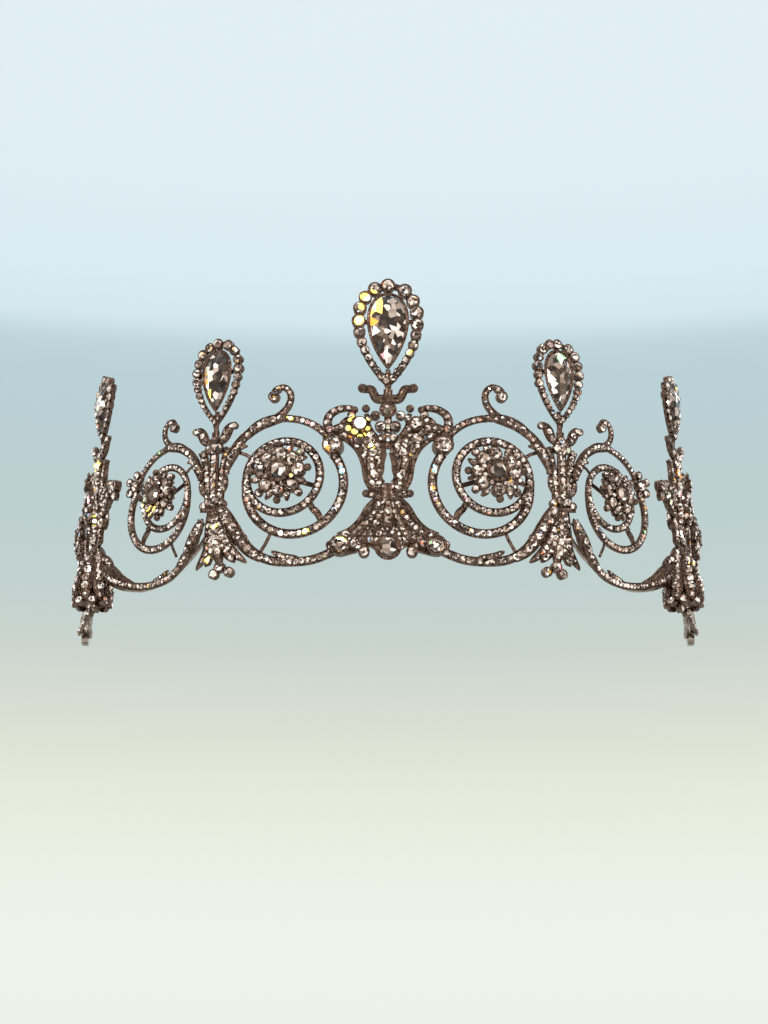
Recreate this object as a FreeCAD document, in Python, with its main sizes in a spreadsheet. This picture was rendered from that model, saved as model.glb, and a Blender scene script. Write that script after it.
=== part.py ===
# Scroll tiara with pear finials: a parametric FreeCAD document, in millimetres.
# Row frame: +Z up, the wearer looks along -Y, the tiara rests on z = 0.
# Each flat piece is drawn in a local plane (x along the tiara, y up, z outwards)
# and is then stood up on an ellipse, which is the plan of the tiara.
import FreeCAD, Part
import math
import os

Vector, Rotation, Placement = FreeCAD.Vector, FreeCAD.Rotation, FreeCAD.Placement

doc = FreeCAD.newDocument("scroll_tiara")

# ---------------------------------------------------------------- driving dimensions
sheet = doc.addObject("Spreadsheet::Sheet", "Sizes")
SIZES = [
    # plan of the tiara
    ("plan_half_width", 77.0, "half width of the plan ellipse"),
    ("plan_depth", 59.4, "front to widest point of the plan ellipse"),
    ("centre_back", 27.05, "ellipse centre behind the origin"),
    # places along the ellipse, measured from the centre front
    ("wheel_one_arc", 21.7, "first wheel"),
    ("station_one_arc", 41.5, "first side station"),
    ("wheel_two_arc", 59.2, "second wheel"),
    ("station_two_arc", 83.5, "second side station"),
    ("wheel_three_arc", 97.0, "third wheel"),
    ("quarter_arc", 107.5, "widest point"),
    ("end_back", 3.4, "end post behind the widest point"),
    # sizes of the three panels against the first
    ("panel_one_size", 1.0, "first panel"),
    ("panel_two_size", 0.86, "second panel"),
    ("panel_three_size", 0.76, "third panel"),
    # scroll panels
    ("wheel_height", 21.0, "wheel centre above the base"),
    ("plate", 1.9, "thickness of the scroll plates"),
    ("band", 2.1, "width of the scroll bands"),
    ("ring_radius", 8.75, "centre line of the inner ring"),
    ("ring_shift", 2.8, "ring centre beside the scroll centre"),
    ("ring_lift", 2.55, "ring centre above the scroll centre"),
    ("scroll_radius", 11.55, "centre line of the outer scroll"),
    ("arch_radius", 13.7, "centre line of the arch over the wheel"),
    ("arch_band", 1.8, "width of the arch band"),
    ("curl_radius", 2.2, "centre line of the curl on the arch"),
    ("curl_band", 1.5, "width of the curl band"),
    ("swag_band", 2.3, "width of the swag band"),
    ("swag_bottom", 2.75, "centre line of the swag at its lowest"),
    ("swag_plate", 1.7, "thickness of the swag"),
    ("rail_radius", 0.55, "polished rail behind the swags"),
    # flower heads
    ("flower_hub", 2.7, "radius of the hub plate"),
    ("petal_radius", 1.55, "radius of a petal plate"),
    ("petal_ring", 4.2, "petal centres from the flower centre"),
    ("bead_radius", 0.85, "radius of an outer bead"),
    ("bead_ring", 6.7, "bead centres from the flower centre"),
    ("flower_back", 3.4, "back of the flower plate in front of the panel back"),
    ("flower_plate", 0.8, "thickness of the flower plate"),
    ("stalk_radius", 0.4, "stalk of a flower head"),
    ("ball_radius", 0.7, "ball at the foot of the stalk"),
    ("cup_clearance", 0.06, "running clearance round the ball"),
    # finials
    ("pin_radius", 0.55, "plug-in pin under a pear"),
    ("pin_clearance", 0.05, "running clearance round the pin"),
    ("pin_length", 3.4, "length of the pin"),
    ("socket_wall", 0.45, "wall of the finial socket"),
    ("pear_plate", 2.2, "thickness of a pear frame"),
    ("pear_centre_tall", 27.0, "centre pear, height"),
    ("pear_centre_wide", 17.0, "centre pear, width"),
    ("pear_one_tall", 21.7, "first side pear, height"),
    ("pear_one_wide", 13.6, "first side pear, width"),
    ("pear_two_tall", 17.2, "second side pear, height"),
    ("pear_two_wide", 10.9, "second side pear, width"),
    # stations
    ("station_plate", 2.2, "thickness of the station plates"),
    ("tail_lean", 3.0, "lean of the inner tails towards the centre, at the foot"),
    ("bell_flower_radius", 4.4, "mouth of the bell flower on the outer stations"),
    ("bud_radius", 2.9, "bud on the outer stations"),
    ("collar_height", 18.3, "collar centre above the base"),
    ("station_two_size", 0.95, "second station against the centre one"),
    ("drop_radius", 1.4, "collet of a hanging drop"),
    ("drop_pin_radius", 0.3, "pivot pin of a hanging drop"),
    ("drop_clearance", 0.05, "running clearance round the pivot pin"),
    ("loop_bore", 1.5, "bore radius of a ribbon loop"),
    ("loop_wall", 1.1, "wall of a ribbon loop"),
    ("loop_plate", 1.6, "thickness of a ribbon loop"),
]
for row, (alias, value, note) in enumerate(SIZES, start=1):
    sheet.set(f"A{row}", alias)
    sheet.set(f"B{row}", str(value))
    sheet.set(f"C{row}", note)
    sheet.setAlias(f"B{row}", alias)
doc.recompute()


def size(alias):
    """The value of a cell, for code that places pieces."""
    return float(getattr(sheet, alias))


PLATE, BAND = size("plate"), size("band")
A, B = size("plan_half_width"), size("plan_depth")
FACE = size("station_plate") / 2


# ---------------------------------------------------------------- plan ellipse
def arc_table(steps=4000, top=2.0):
    """Arc length along the ellipse at evenly spaced parameters."""
    table, total, step = [0.0], 0.0, top / steps
    for k in range(steps):
        mid = (k + 0.5) * step
        total += step * math.hypot(A * math.cos(mid), B * math.sin(mid))
        table.append(total)
    return table, step


ARC, ARC_STEP = arc_table()


def parameter_at(arc):
    """Ellipse parameter at an arc length from the centre front."""
    k = next(i for i, total in enumerate(ARC) if total >= abs(arc))
    k = max(k, 1)
    share = (abs(arc) - ARC[k - 1]) / (ARC[k] - ARC[k - 1])
    return math.copysign((k - 1 + share) * ARC_STEP, arc)


def stand(arc, height=0.0, outward=0.0):
    """Placement that stands a local plane up on the ellipse at an arc length."""
    t = parameter_at(arc)
    tangent = Vector(A * math.cos(t), B * math.sin(t), 0).normalize()
    normal = Vector(tangent.y, -tangent.x, 0)
    point = Vector(A * math.sin(t), size("centre_back") - B * math.cos(t), height)
    return Placement(point + normal * outward, Rotation(tangent, Vector(0, 0, 1), normal))


def stand_between(arc_from, arc_to, arc, height=0.0):
    """As stand(), but flat across the chord between two stations.
    The plane lies halfway between the chord and the ellipse."""
    start, end = stand(arc_from).Base, stand(arc_to).Base
    if start.x > end.x:
        start, end = end, start
    tangent = (end - start).normalize()
    normal = Vector(tangent.y, -tangent.x, 0)
    here = stand(arc).Base
    on_chord = start + tangent * (here - start).dot(tangent)
    bulge = (here - on_chord).dot(normal)
    point = on_chord + normal * (bulge * 0.5)
    return Placement(Vector(point.x, point.y, height), Rotation(tangent, Vector(0, 0, 1), normal))


# ---------------------------------------------------------------- building blocks
count = {"n": 0}


def amount(value):
    """The number behind a sheet expression or a plain number."""
    if isinstance(value, str):
        total = 1.0
        for factor in value.split("*"):
            factor = factor.strip()
            total *= size(factor[6:]) if factor.startswith("Sizes.") else float(factor)
        return total
    return float(value)


def new(kind, **expressions):
    """A Part object with its sizes bound to the sheet."""
    count["n"] += 1
    made = doc.addObject(kind, f"Shape{count['n']:04d}")
    for name, value in expressions.items():
        if isinstance(value, str):
            made.setExpression(name, value)
        else:
            setattr(made, name, value)
    return made


def at(x, y, z=0.0, turn=0.0):
    return Placement(Vector(x, y, z), Rotation(Vector(0, 0, 1), turn))


def disc(x, y, radius, thick, low=0.0):
    """A flat round plate with its back at low."""
    made = new("Part::Cylinder", Radius=radius, Height=thick)
    made.Placement = at(x, y, low)
    return made


def ball(x, y, z, radius):
    made = new("Part::Sphere", Radius=radius)
    made.Placement = at(x, y, z)
    return made


def cone(x, y, low, back_radius, front_radius, tall):
    made = new("Part::Cone", Radius1=back_radius, Radius2=front_radius, Height=tall)
    made.Placement = at(x, y, low)
    return made


def bar(x0, y0, x1, y1, width, thick, low=0.0):
    """A flat bar with square ends between two points."""
    length, half = math.hypot(x1 - x0, y1 - y0), amount(width) / 2
    turn = math.atan2(y1 - y0, x1 - x0)
    made = new("Part::Box", Length=length, Width=width, Height=thick)
    corner = Vector(x0 + math.sin(turn) * half, y0 - math.cos(turn) * half, low)
    made.Placement = at(corner.x, corner.y, low, math.degrees(turn))
    return made


def cut(base, tool):
    made = new("Part::Cut")
    made.Base, made.Tool = base, tool
    return made


def fuse(pieces):
    if len(pieces) == 1:
        return pieces[0]
    made = new("Part::MultiFuse")
    made.Shapes = pieces
    return made


def arc_band(x, y, radius, start, end, width, thick, low=0.0):
    """A flat curved band, from start to end degrees anticlockwise."""
    outer = new("Part::Cylinder", Radius=f"{radius} + {width} / 2", Height=thick)
    inner = new("Part::Cylinder", Radius=f"{radius} - {width} / 2", Height=f"{thick} + 2")
    if end - start < 359.9:
        outer.Angle = end - start
    outer.Placement = at(x, y, low, start)
    inner.Placement = at(x, y, low - 1)
    return cut(outer, inner)


def leaf(x0, y0, x1, y1, fullness, thick, low=0.0):
    """A pointed leaf between two points: the common part of two round plates."""
    length = math.hypot(x1 - x0, y1 - y0)
    rise = length * fullness / 2
    radius = (length * length / 4 + rise * rise) / (2 * rise)
    across = Vector(-(y1 - y0) / length, (x1 - x0) / length, 0) * (radius - rise)
    middle = Vector((x0 + x1) / 2, (y0 + y1) / 2, 0)
    made = new("Part::Common")
    sides = [middle + across, middle - across]
    made.Base, made.Tool = [disc(c.x, c.y, radius, thick, low) for c in sides]
    return made


def setting(x, y, radius, low):
    """A tapered collet with a conical seat for a round stone."""
    tall = 0.75 * amount(radius)
    cup = cone(x, y, low, f"{radius} * 0.8", f"{radius} * 1.0", tall)
    seat_low = low + 0.12 * amount(radius)
    seat = cone(x, y, seat_low, f"{radius} * 0.1", f"{radius} * 0.822", 0.632 * amount(radius))
    return cut(cup, seat)


class Side:
    """Draws in the local plane, mirrored for the other side of the tiara."""

    def __init__(self, sign, scale=1.0):
        self.sign, self.scale = sign, scale

    def x(self, value):
        return self.sign * self.scale * value

    def disc(self, x, y, radius, thick, low=0.0):
        return disc(self.x(x), y * self.scale, radius, thick, low)

    def bar(self, x0, y0, x1, y1, width, thick, low=0.0):
        s = self.scale
        return bar(self.x(x0), s * y0, self.x(x1), s * y1, width, thick, low)

    def arc(self, x, y, radius, start, end, width, thick, low=0.0):
        if self.sign < 0:
            start, end = 180 - end, 180 - start
        s = self.scale
        return arc_band(self.x(x), s * y, f"{radius} * {s}", start, end, width, thick, low)

    def leaf(self, x0, y0, x1, y1, fullness, thick, low=0.0):
        s = self.scale
        return leaf(self.x(x0), s * y0, self.x(x1), s * y1, fullness, thick, low)


parts = {}


def finish(name, made, placement):
    """Names a sub-part and stands it up in its place."""
    made.Label = name
    made.Placement = placement
    parts[name] = made
    return made


def solid(name, shape, placement):
    """A sub-part made by Part functions, where the shape follows a formula."""
    made = doc.addObject("Part::Feature", name)
    made.Shape = shape
    return finish(name, made, placement.multiply(shape.Placement))


def placed(shape, placement):
    moved = shape.copy()
    moved.Placement = placement.multiply(moved.Placement)
    return moved


def group(name, shapes):
    """Small pieces of one kind that share a node, as separate solids."""
    return solid(name, Part.makeCompound(shapes), Placement())


# ---------------------------------------------------------------- cut stones
def outline_wire(points, z, k=1.0):
    corners = [Vector(x * k, y * k, z) for x, y in points]
    return Part.makePolygon(corners + corners[:1])


def cut_stone(outline, crown, pavilion, table=0.56, girdle=0.25, culet=0.06):
    """A faceted stone over a closed outline, with its girdle on z = 0."""
    levels = [(culet, -pavilion), (1.0, 0.0), (1.0, girdle), (table, girdle + crown)]
    wires = [outline_wire(outline, z, k) for k, z in levels]
    return Part.makeLoft(wires, True, True)


def round_stone(radius, low, x=0.0, y=0.0):
    """The stone that sits in setting(), just clear of the seat."""
    girdle = radius * 0.76
    turns = [math.pi * k / 6 for k in range(12)]
    outline = [(girdle * math.cos(t), girdle * math.sin(t)) for t in turns]
    stone = cut_stone(outline, girdle * 0.36, girdle * 0.78, girdle=girdle * 0.06)
    stone.translate(Vector(x, y, low + 0.72 * radius))
    return stone


def pear_outline(wide, tall, sides=40):
    """A pear with its point down, centred on the middle of its height."""
    points = []
    for k in range(sides):
        t = 2 * math.pi * k / sides
        y = math.cos(t)
        belly = math.sin(t) * (0.5 + 0.5 * y) ** 0.42 / 0.797
        points.append((-wide * 0.5 * belly, tall * 0.5 * y))
    return points


# ---------------------------------------------------------------- scroll panels
def wheel(side):
    """Inner ring, outer scroll, the bud that ties them and the bar behind the flower."""
    ring_x, ring_y = size("ring_shift"), size("ring_lift")
    thick, radius = "Sizes.plate", size("scroll_radius")
    k = side.scale
    pieces = [
        side.arc(ring_x, ring_y, "Sizes.ring_radius", 0, 360, "Sizes.band", thick),
        side.arc(0, 0, "Sizes.scroll_radius", 142, 360, "Sizes.band", thick),
        side.bar(radius, -0.05, radius, ring_y + 0.05, "Sizes.band", thick),
        side.leaf(-5.2, -10.4, -2.9, -3.6, 0.42, thick),
        side.bar(ring_x - 8.6, ring_y - 2.0, ring_x + 8.6, ring_y + 2.0, 1.3, thick),
        side.disc(ring_x, ring_y, 1.35, thick),
    ]
    cup = cut(fuse(pieces), ball(side.x(ring_x), k * ring_y, PLATE / 2, SOCKET))
    mouth = cone(side.x(ring_x), k * ring_y, PLATE / 2 + 0.2, 0.58, 0.78, PLATE)
    return cut(cup, mouth)


def arch(side):
    """The arch over the wheel, with its leaf, its curl and the bead of the curl."""
    radius, curl = size("arch_radius"), size("curl_radius")
    foot, curl_y, thick = 5.4, 22.3, "Sizes.plate"
    pieces = [
        side.arc(3.2, 3.3, "Sizes.arch_radius", 14, 143, "Sizes.arch_band", thick),
        side.leaf(0.0, 3.3 + radius, 11.5, 13.9, 0.26, thick),
        side.arc(1.2 + foot, curl_y, str(foot), 180, 262, "Sizes.curl_band", thick),
        side.arc(1.2 + curl, curl_y, "Sizes.curl_radius", 0, 180, "Sizes.curl_band", thick),
        side.disc(1.2 + 2 * curl, curl_y - 0.3, 1.15, thick),
        side.leaf(-8.5, 12.6, -3.5, 8.0, 0.4, thick),
    ]
    return fuse(pieces)


def swag(side, collet_x, flat_radius, knot_x):
    """The garland under the wheel: flat run, rising arc, run to the knot, two leaves."""
    k, band, thick = side.scale, "Sizes.swag_band", "Sizes.swag_plate"
    low = size("swag_bottom") - size("wheel_height")
    plain = Side(side.sign)
    reach = 15.2 * k
    end_x = reach * math.cos(math.radians(330))
    end_y = low + reach + reach * math.sin(math.radians(330))
    knot_y = -4.3
    flat_start = 270 - math.degrees(math.asin(collet_x / flat_radius))
    pieces = [
        plain.arc(0, low + reach, str(reach), 269.5, 331, band, thick),
        plain.arc(0, low + flat_radius, str(flat_radius), flat_start, 270.5, band, thick),
        plain.bar(end_x - 0.2, end_y - 0.3, knot_x, knot_y, band, thick),
        plain.leaf(end_x * 0.5, low + 0.9, end_x + 1.4, end_y + 1.0, 0.34, thick),
        plain.leaf(end_x - 1.4, end_y - 0.6, knot_x - 0.6, knot_y + 1.4, 0.4, thick),
    ]
    return fuse(pieces)


def flower(scale):
    """Hub collet, eight petals, eight beads, and the stalk with its ball."""
    back, thick, middle = size("flower_back"), "Sizes.flower_plate", PLATE / 2
    front = back + size("flower_plate")
    pieces = [disc(0, 0, f"Sizes.petal_ring * {scale}", thick, back)]
    for k in range(8):
        for radius, ring, half in (("petal_radius", "petal_ring", 0), ("bead_radius", "bead_ring", 0.5)):
            turn = math.radians(45 * (k + half))
            reach = size(ring) * scale
            x, y = reach * math.cos(turn), reach * math.sin(turn)
            pieces.append(disc(x, y, f"Sizes.{radius} * {scale}", thick, back))
            if half:
                inner = size("petal_ring") * scale * 0.8
                x0, y0 = inner * math.cos(turn), inner * math.sin(turn)
                pieces.append(bar(x0, y0, x, y, 0.9 * scale, thick, back))
    hub = setting(0, 0, f"Sizes.flower_hub * {scale}", front)
    stalk = disc(0, 0, "Sizes.stalk_radius", back + 0.1 - middle, middle)
    return fuse(pieces + [hub, stalk, ball(0, 0, middle, "Sizes.ball_radius")])


SOCKET = size("ball_radius") + size("cup_clearance")
PANELS = [
    ("one", "wheel_one_arc", "panel_one_size", ("", "station_one_arc"), 1, (10.4, 26.0, 17.6)),
    ("two", "wheel_two_arc", "panel_two_size", ("station_one_arc", "station_two_arc"), -1,
     (20.6, 30.0, 16.0)),
    ("three", "wheel_three_arc", "panel_three_size", ("station_two_arc", "quarter_arc"), -1,
     (12.5, 60.0, 11.6)),
]


def add_panel(word, sign, wheel_arc, scale_name, ends, hand, swag_sizes):
    side_word = "right" if sign > 0 else "left"
    scale = size(scale_name)
    start, end = [size(name) * sign if name else 0.0 for name in ends]
    place = stand_between(start, end, size(wheel_arc) * sign, size("wheel_height"))
    place = place.multiply(Placement(Vector(0, 0, -PLATE / 2), Rotation()))
    side = Side(sign * hand, scale)
    finish(f"scroll_{side_word}_{word}", wheel(side), place)
    finish(f"arch_{side_word}_{word}", arch(side), place)
    front = place.multiply(Placement(Vector(0, 0, 0.1), Rotation()))
    finish(f"swag_{side_word}_{word}", swag(side, *swag_sizes), front)
    centre = Vector(side.x(size("ring_shift")), scale * size("ring_lift"), 0)
    hub = place.multiply(Placement(centre, Rotation()))
    finish(f"flower_{side_word}_{word}", flower(scale), hub)
    front_of_plate = size("flower_back") + size("flower_plate")
    stone = round_stone(size("flower_hub") * scale, front_of_plate)
    solid(f"flower_stone_{side_word}_{word}", stone, hub)
    return place


panel_places = {}
for sign in (-1, 1):
    for word, wheel_arc, scale_name, ends, hand, swag_sizes in PANELS:
        panel_places[word, sign] = add_panel(
            word, sign, wheel_arc, scale_name, ends, hand, swag_sizes
        )


# ---------------------------------------------------------------- finials
PIN, GAP = size("pin_radius"), size("pin_clearance")


def upright(x, low, radius, tall, w):
    """A round rod along the height of the local plane."""
    made = new("Part::Cylinder", Radius=radius, Height=tall)
    made.Placement = Placement(Vector(x, low, w), Rotation(Vector(1, 0, 0), -90))
    return made


def upright_cone(x, low, low_radius, high_radius, tall, w):
    """A round bell shape that stands along the height of the local plane."""
    made = new("Part::Cone", Radius1=low_radius, Radius2=high_radius, Height=tall)
    made.Placement = Placement(Vector(x, low, w), Rotation(Vector(1, 0, 0), -90))
    return made


def socket(low, tall, w):
    """The tube that takes the pin of a finial."""
    shell = upright(0, low, "Sizes.pin_radius + Sizes.pin_clearance + Sizes.socket_wall", tall, w)
    bore = upright(0, low + 0.6, "Sizes.pin_radius + Sizes.pin_clearance", tall, w)
    return shell, bore


def add_pear(name, arc, bottom, wide_name, tall_name):
    """A pear finial: frame with its pin, and the pear stone."""
    wide, tall, thick = size(wide_name), size(tall_name), size("pear_plate")
    outer = Part.Face(outline_wire(pear_outline(wide, tall), 0))
    frame = outer.extrude(Vector(0, 0, thick))
    stone_wide, stone_tall = wide * 0.53, tall * 0.73
    opening = pear_outline(stone_wide + 0.5, stone_tall + 0.5)
    lift = tall * 0.015
    levels = [(0.35, -0.1), (1.0, thick - 0.3), (1.0, thick + 0.1)]
    seat = Part.makeLoft([outline_wire(opening, z, k) for k, z in levels], True, True)
    seat.translate(Vector(0, lift, 0))
    frame = frame.cut(seat)
    pin_start = Vector(0, -tall / 2 - size("pin_length") + 1.4, thick / 2)
    pin = Part.makeCylinder(PIN, size("pin_length"), pin_start, Vector(0, 1, 0))
    foot = Part.makeCylinder(PIN + 0.45, 1.2, Vector(0, -tall / 2, thick / 2), Vector(0, 1, 0))
    frame = frame.fuse([pin, foot]).removeSplitter()
    place = stand(arc, bottom + tall / 2, -thick / 2)
    solid(f"pear_frame_{name}", frame, place)
    stone = cut_stone(pear_outline(stone_wide, stone_tall), 1.5, thick - 0.75, 0.6, 0.4, 0.3)
    stone.translate(Vector(0, lift, thick - 0.3))
    solid(f"pear_stone_{name}", stone, place)


# ---------------------------------------------------------------- side stations
def side_station(sign, scale, pear_bottom, lean, arms):
    """Tail flower, collar, three strands, shoulder beads, leaf pair and socket.

    The tail leans towards the centre by lean at its foot. An outer station has arms that reach
    out to the next scroll, a round bell flower and a round bud.
    """
    thick, collar, mid = "Sizes.station_plate", size("collar_height"), FACE
    side = Side(1, 1.0)
    both = (-1, 1)
    top = pear_bottom - 1.9
    leaf_low = pear_bottom - 4.6
    low, waist = -sign * lean, -sign * lean * 0.45
    pieces = [
        side.leaf(0, collar - 1, low, 1.2, 0.2, thick),
        side.disc(low, 2.0, 1.35, thick),
        side.bar(0, collar - 3, low, 3, 1.8, thick),
        side.disc(0, collar, 2.3, "Sizes.station_plate + 0.8", -0.2),
        side.bar(-3.1, collar, 3.1, collar, 1.7, thick),
        side.bar(0, collar, 0, leaf_low + 0.6, 1.9, thick),
        side.disc(0, leaf_low - 2.0, 1.3, thick),
    ]
    for hand in both:
        arm = Side(hand)
        pieces += [
            arm.disc(1.9 + hand * low, 1.15, 1.15, thick),
            arm.leaf(0.4, collar - 3.0, 5.8 * scale + hand * low, 2.9, 0.24, thick),
            arm.leaf(0.6 + hand * low, 1.4, 2.4 + hand * waist, 9.0, 0.5, thick),
            arm.bar(1.8, collar, 2.2, leaf_low - 3.4, 1.7, thick),
            arm.leaf(2.0, leaf_low - 7.4, 4.3, leaf_low - 1.4, 0.36, thick),
            arm.disc(1.9, leaf_low - 2.2, 1.1, thick),
            arm.leaf(0.0, leaf_low - 0.4, 4.6 * scale, leaf_low + 3.6, 0.36, thick),
            arm.disc(4.9 * scale, leaf_low + 3.2, 0.85, thick),
        ]
    if arms:
        inward = Side(-sign)
        pieces += [
            inward.leaf(1.2, 23.4, 12.4, 29.4, 0.24, thick),
            inward.disc(12.0, 29.2, 1.5, thick),
            inward.leaf(1.2, 27.4, 7.0, 32.2, 0.3, thick),
            upright_cone(0, 2.4, "Sizes.bell_flower_radius", 1.5, 13.2, mid + 0.9),
            upright_cone(0, 21.7, 1.3, "Sizes.bud_radius", 2.9, mid + 0.5),
            upright_cone(0, 24.6, "Sizes.bud_radius", 1.3, 2.9, mid + 0.5),
        ]
    shell, bore = socket(leaf_low - 1.0, top - leaf_low + 1.0, mid)
    return cut(fuse(pieces + [shell]), bore)


STATIONS = [
    ("left_one", -1, "station_one_arc", 1.0, 38.3, "pear_one_wide", "pear_one_tall"),
    ("right_one", 1, "station_one_arc", 1.0, 38.3, "pear_one_wide", "pear_one_tall"),
    ("left_two", -1, "station_two_arc", 0.92, 45.2, "pear_two_wide", "pear_two_tall"),
    ("right_two", 1, "station_two_arc", 0.92, 45.2, "pear_two_wide", "pear_two_tall"),
]
for name, sign, arc_name, scale, bottom, wide_name, tall_name in STATIONS:
    arc = size(arc_name) * sign
    inner = name.endswith("one")
    station = side_station(sign, scale, bottom, size("tail_lean") if inner else 0.0, not inner)
    finish(f"station_{name}", station, stand(arc, 0, -FACE))
    add_pear(name, arc, bottom, wide_name, tall_name)

# ---------------------------------------------------------------- centre motif
CENTRE = stand(0, 0, -FACE)
collar, thick = size("collar_height") - 0.6, "Sizes.station_plate"
urn, bell = [], []
for hand in (-1, 1):
    arm = Side(hand)
    urn += [
        arm.leaf(3.0, collar + 0.4, 5.6, 29.5, 0.34, thick),
        arm.arc(14.6, 24.6, "9.4", 96, 172, 2.6, thick),
        arm.leaf(1.6, 27.0, 8.4, 31.5, 0.44, thick),
        arm.leaf(1.2, 23.0, 4.6, 30.5, 0.42, thick),
        arm.leaf(7.0, 30.6, 14.0, 34.6, 0.4, thick),
        arm.arc(10.6, 35.6, "2.9", -25, 130, 1.1, thick),
        arm.disc(7.9, 37.9, 0.95, thick),
        arm.bar(0.6, 30.6, 5.4, 37.6, 1.3, thick),
        arm.disc(5.1, 38.3, 1.0, thick),
        arm.disc(3.0, 36.8, 1.15, thick),
        arm.disc(4.7, collar, 0.95, thick),
        arm.leaf(0.0, 40.6, 4.7, 43.3, 0.42, thick),
        arm.disc(5.3, 43.2, 0.95, thick),
        arm.disc(1.6, 31.6, 1.6, thick),
    ]
    bell += [
        arm.leaf(0.6, 15.6, 5.4, 4.6, 0.44, thick),
        arm.leaf(2.2, 13.6, 10.6, 4.2, 0.32, thick),
        arm.bar(1.5, 6.0, 10.8, 5.0, 3.4, thick),
        setting(arm.x(10.9), 5.2, 2.35, 2.2),
        arm.disc(10.9, 5.2, 2.0, thick),
        arm.disc(5.4, 5.9, 1.0, thick),
        disc(arm.x(5.4), 5.9, "Sizes.drop_pin_radius", 3.6),
        disc(arm.x(5.4), 5.9, 0.6, 0.35, 3.45),
    ]
urn += [
    arm.bar(-4.6, collar, 4.6, collar, 1.7, thick),
    arm.bar(0, collar - 0.2, 0, 20.4, 5.2, thick),
    arm.disc(0, 31.0, 2.2, thick),
    arm.bar(0, 29.0, 0, 41.6, 1.5, thick),
    arm.bar(-5.2, 29.4, 5.2, 29.4, 1.8, thick),
    setting(0, 38.3, 1.85, 2.2),
    arm.disc(0, 38.3, 1.5, thick),
]
shell, bore = socket(39.0, 5.4, FACE)
finish("urn", cut(fuse(urn + [shell]), bore), CENTRE)
bell += [
    arm.bar(0, 4.0, 0, collar - 0.6, 5.2, thick),
    arm.bar(-6.5, 6.6, 6.5, 6.6, 4.4, thick),
    setting(0, 4.55, 2.6, 2.2),
    arm.disc(0, 4.55, 2.4, thick),
]
finish("bell", fuse(bell), CENTRE)
add_pear("centre", 0.0, 44.5, "pear_centre_wide", "pear_centre_tall")

# the stones of the centre motif and of the flank collets share one node
stones = [round_stone(2.6, 2.2, 0, 4.55), round_stone(1.85, 2.2, 0, 38.3)]
stones += [round_stone(2.35, 2.2, x, 5.2) for x in (-10.9, 10.9)]
stones = [placed(stone, CENTRE) for stone in stones]

# hanging drops on their pivot pins
for word, sign in (("left", -1), ("right", 1)):
    low = 2.35
    radius, pin, gap = size("drop_radius"), size("drop_pin_radius"), size("drop_clearance")
    eye = disc(0, 0, 0.8, 0.95, low)
    cup = setting(0, -2.75, "Sizes.drop_radius", low)
    neck = bar(0, -0.4, 0, -1.6, 0.7, 0.9, low)
    bored = cut(fuse([eye, neck, cup]), disc(0, 0, "Sizes.drop_pin_radius + Sizes.drop_clearance", 3, 1))
    place = CENTRE.multiply(Placement(Vector(5.4 * sign, 5.9, 0), Rotation()))
    finish(f"hanging_drop_{word}", bored, place)
    stone = round_stone(radius, low, 0, -2.75)
    solid(f"hanging_stone_{word}", stone, place)

# flank collets where the scrolls begin, one on each side of the urn
flank_stones = []
for word, sign in (("left", -1), ("right", 1)):
    place = panel_places["one", sign]
    x, y = -9.2 * sign, 9.0
    cup = fuse([setting(x, y, 2.5, PLATE), disc(x, y, 2.1, PLATE, 0.0)])
    finish(f"flank_collet_{word}", cup, place)
    flank_stones.append(placed(round_stone(2.5, PLATE, x, y), place))
group("setting_stones", stones + flank_stones)


# ---------------------------------------------------------------- rails and end posts
def end_place(sign, back=0.0, height=0.0):
    """The straight end behind the widest point; its plate faces straight out."""
    x, y = sign * A, size("centre_back") + back
    return Placement(
        Vector(x, y, height), Rotation(Vector(0, sign, 0), Vector(0, 0, 1), Vector(sign, 0, 0))
    )


def rounded_wire(points, share=0.45):
    """Straight runs joined by tangent arcs."""
    edges, last = [], points[0]
    for before, corner, after in zip(points, points[1:], points[2:]):
        back, ahead = before - corner, after - corner
        reach = share * min(back.Length, ahead.Length)
        start = corner + Vector(back).normalize() * reach
        end = corner + Vector(ahead).normalize() * reach
        half = back.getAngle(ahead) / 2
        inward = (Vector(back).normalize() + Vector(ahead).normalize()).normalize()
        centre = corner + inward * (reach / math.cos(half))
        middle = centre - inward * (reach * math.tan(half))
        edges.append(Part.LineSegment(last, start).toShape())
        edges.append(Part.Arc(start, middle, end).toShape())
        last = end
    edges.append(Part.LineSegment(last, points[-1]).toShape())
    return Part.Wire(edges)


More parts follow.
